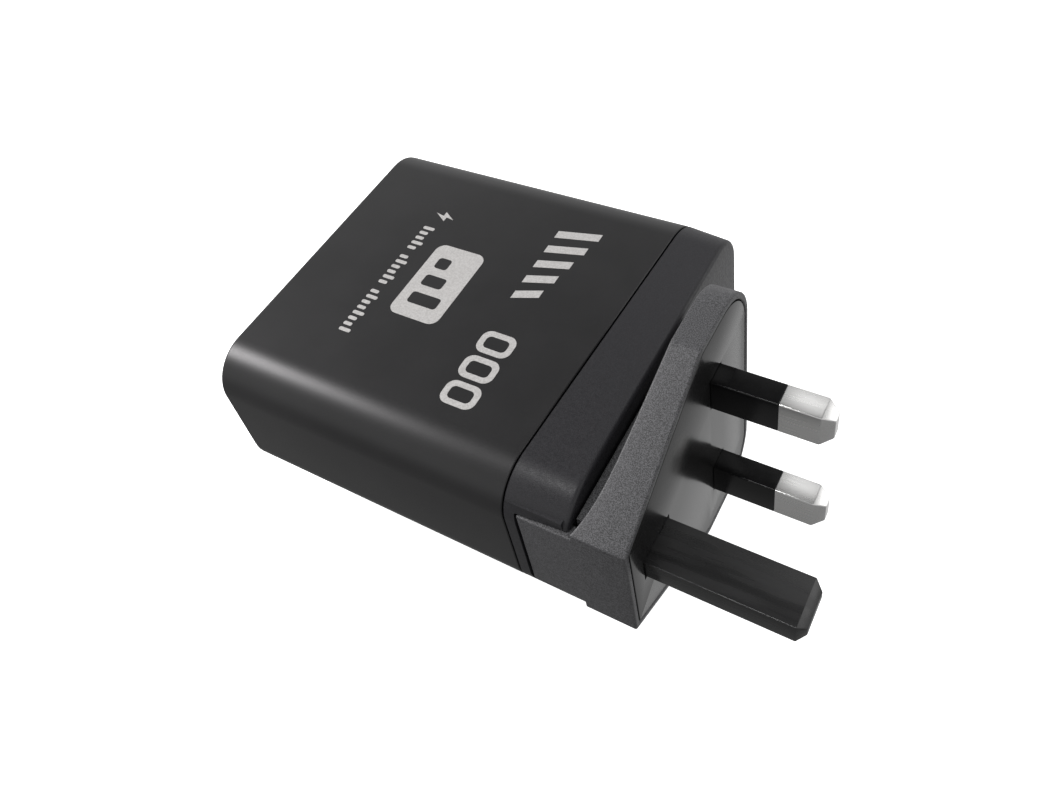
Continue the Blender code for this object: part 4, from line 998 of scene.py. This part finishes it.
def area_light(name, place, target, size, power, colour):
    lamp = bpy.data.lights.new(name, "AREA")
    lamp.shape = "RECTANGLE"
    lamp.size, lamp.size_y = size
    lamp.energy = power
    lamp.color = colour
    made = link(bpy.data.objects.new(name, lamp))
    place, target = Vector(place), Vector(target)
    made.location = place
    made.rotation_euler = (place - target).to_track_quat("Z", "Y").to_euler()


def make_world():
    """Studio tent: bright near the horizon, dimmer overhead, dim below on the near side."""
    world = bpy.data.worlds.new("studio")
    world.use_nodes = True
    tree = world.node_tree

    def node(kind, **settings):
        made = tree.nodes.new(kind)
        for key, value in settings.items():
            setattr(made, key, value)
        return made

    def mapped(source, low, high):
        made = node("ShaderNodeMapRange")
        made.inputs["From Min"].default_value = low
        made.inputs["From Max"].default_value = high
        tree.links.new(source, made.inputs["Value"])
        return made.outputs["Result"]

    split = node("ShaderNodeSeparateXYZ")
    tree.links.new(node("ShaderNodeTexCoord").outputs["Generated"], split.inputs["Vector"])
    ramp = node("ShaderNodeValToRGB")
    bar = ramp.color_ramp
    while len(bar.elements) < len(SKY_LEVELS):
        bar.elements.new(0.5)
    for element, (position, level) in zip(bar.elements, SKY_LEVELS):
        element.position = position
        element.color = (level, level, level, 1)
    tree.links.new(mapped(split.outputs["Z"], -1.0, 1.0), ramp.inputs["Fac"])
    far_low = node("ShaderNodeMath", operation="MULTIPLY")
    tree.links.new(mapped(split.outputs["Y"], *FAR_LOW_Y), far_low.inputs[0])
    tree.links.new(mapped(split.outputs["Z"], *FAR_LOW_Z), far_low.inputs[1])
    blend = node("ShaderNodeMix", data_type="RGBA")
    blend.inputs["B"].default_value = (FAR_LOW_LEVEL, FAR_LOW_LEVEL, FAR_LOW_LEVEL, 1)
    tree.links.new(far_low.outputs["Value"], blend.inputs["Factor"])
    tree.links.new(ramp.outputs["Color"], blend.inputs["A"])
    tree.links.new(blend.outputs["Result"], tree.nodes["Background"].inputs["Color"])
    bpy.context.scene.world = world
    bpy.context.scene.view_settings.view_transform = "Standard"


def make_studio():
    """The world, four lamps, and a broad ceiling that is left out of reflections."""
    make_world()
    for name, settings in LAMPS.items():
        area_light(name, *settings)
    sun = bpy.data.lights.new("ceiling", "SUN")
    sun.energy = CEILING_POWER
    sun.angle = radians(CEILING_SPREAD)
    ceiling = link(bpy.data.objects.new("ceiling", sun))
    ceiling.rotation_euler = (radians(CEILING_TILT), radians(CEILING_TILT), 0)
    ceiling.visible_glossy = False


def make_floor():
    """Pale floor that neither mirrors in the adapter nor lights it, as with a raised table."""
    graph = Graph("pale_floor")
    tone = graph.noise(80.0, 2.0)
    graph.join(graph.blend(graph.ramp(tone, 0, 1), (0.90, 0.90, 0.90), (0.93, 0.93, 0.93)),
               graph.shader.inputs["Base Color"])
    graph.set(Roughness=0.8, Emission_Color=(1, 1, 1, 1), Emission_Strength=0.9)
    data = bmesh.new()
    height = CAD_BOUNDS[0][2]
    for x, y in ((-1, -1), (1, -1), (1, 1), (-1, 1)):
        data.verts.new((x * FLOOR_HALF, y * FLOOR_HALF, height))
    data.faces.new(data.verts)
    mesh = bpy.data.meshes.new("floor")
    data.to_mesh(mesh)
    data.free()
    mesh.materials.append(graph.material)
    floor = link(bpy.data.objects.new("floor", mesh))
    floor.visible_glossy = False
    floor.visible_diffuse = False


# ---- everything ---------------------------------------------------------------------------------------
def main():
    make_camera()
    make_studio()
    make_floor()
    gloss = gloss_plastic()
    brass_look = metal("sheet_brass", (0.62, 0.42, 0.16), (0.78, 0.56, 0.24), 0.28)
    make_sleeve(satin_shell())
    make_end_cap(cap_texture())
    make_port_panel(gloss)
    make_usb_socket(metal("drawn_steel", (0.5, 0.5, 0.51), (0.62, 0.62, 0.63), 0.3), gloss,
                    metal("gold_contacts", (0.75, 0.53, 0.2), (0.85, 0.62, 0.26), 0.25))
    make_plug_shell(head_texture())
    make_pin_plate(plate_plastic())
    make_power_pins(plated_pin(), gloss)
    make_earth_pin(earth_pin_plastic())
    ink = print_ink()
    make_badge(ink)
    make_caption(ink)
    make_bolt(ink)
    make_stripes(ink)
    make_frames(ink)
    make_inner_looks(brass_look)


main()
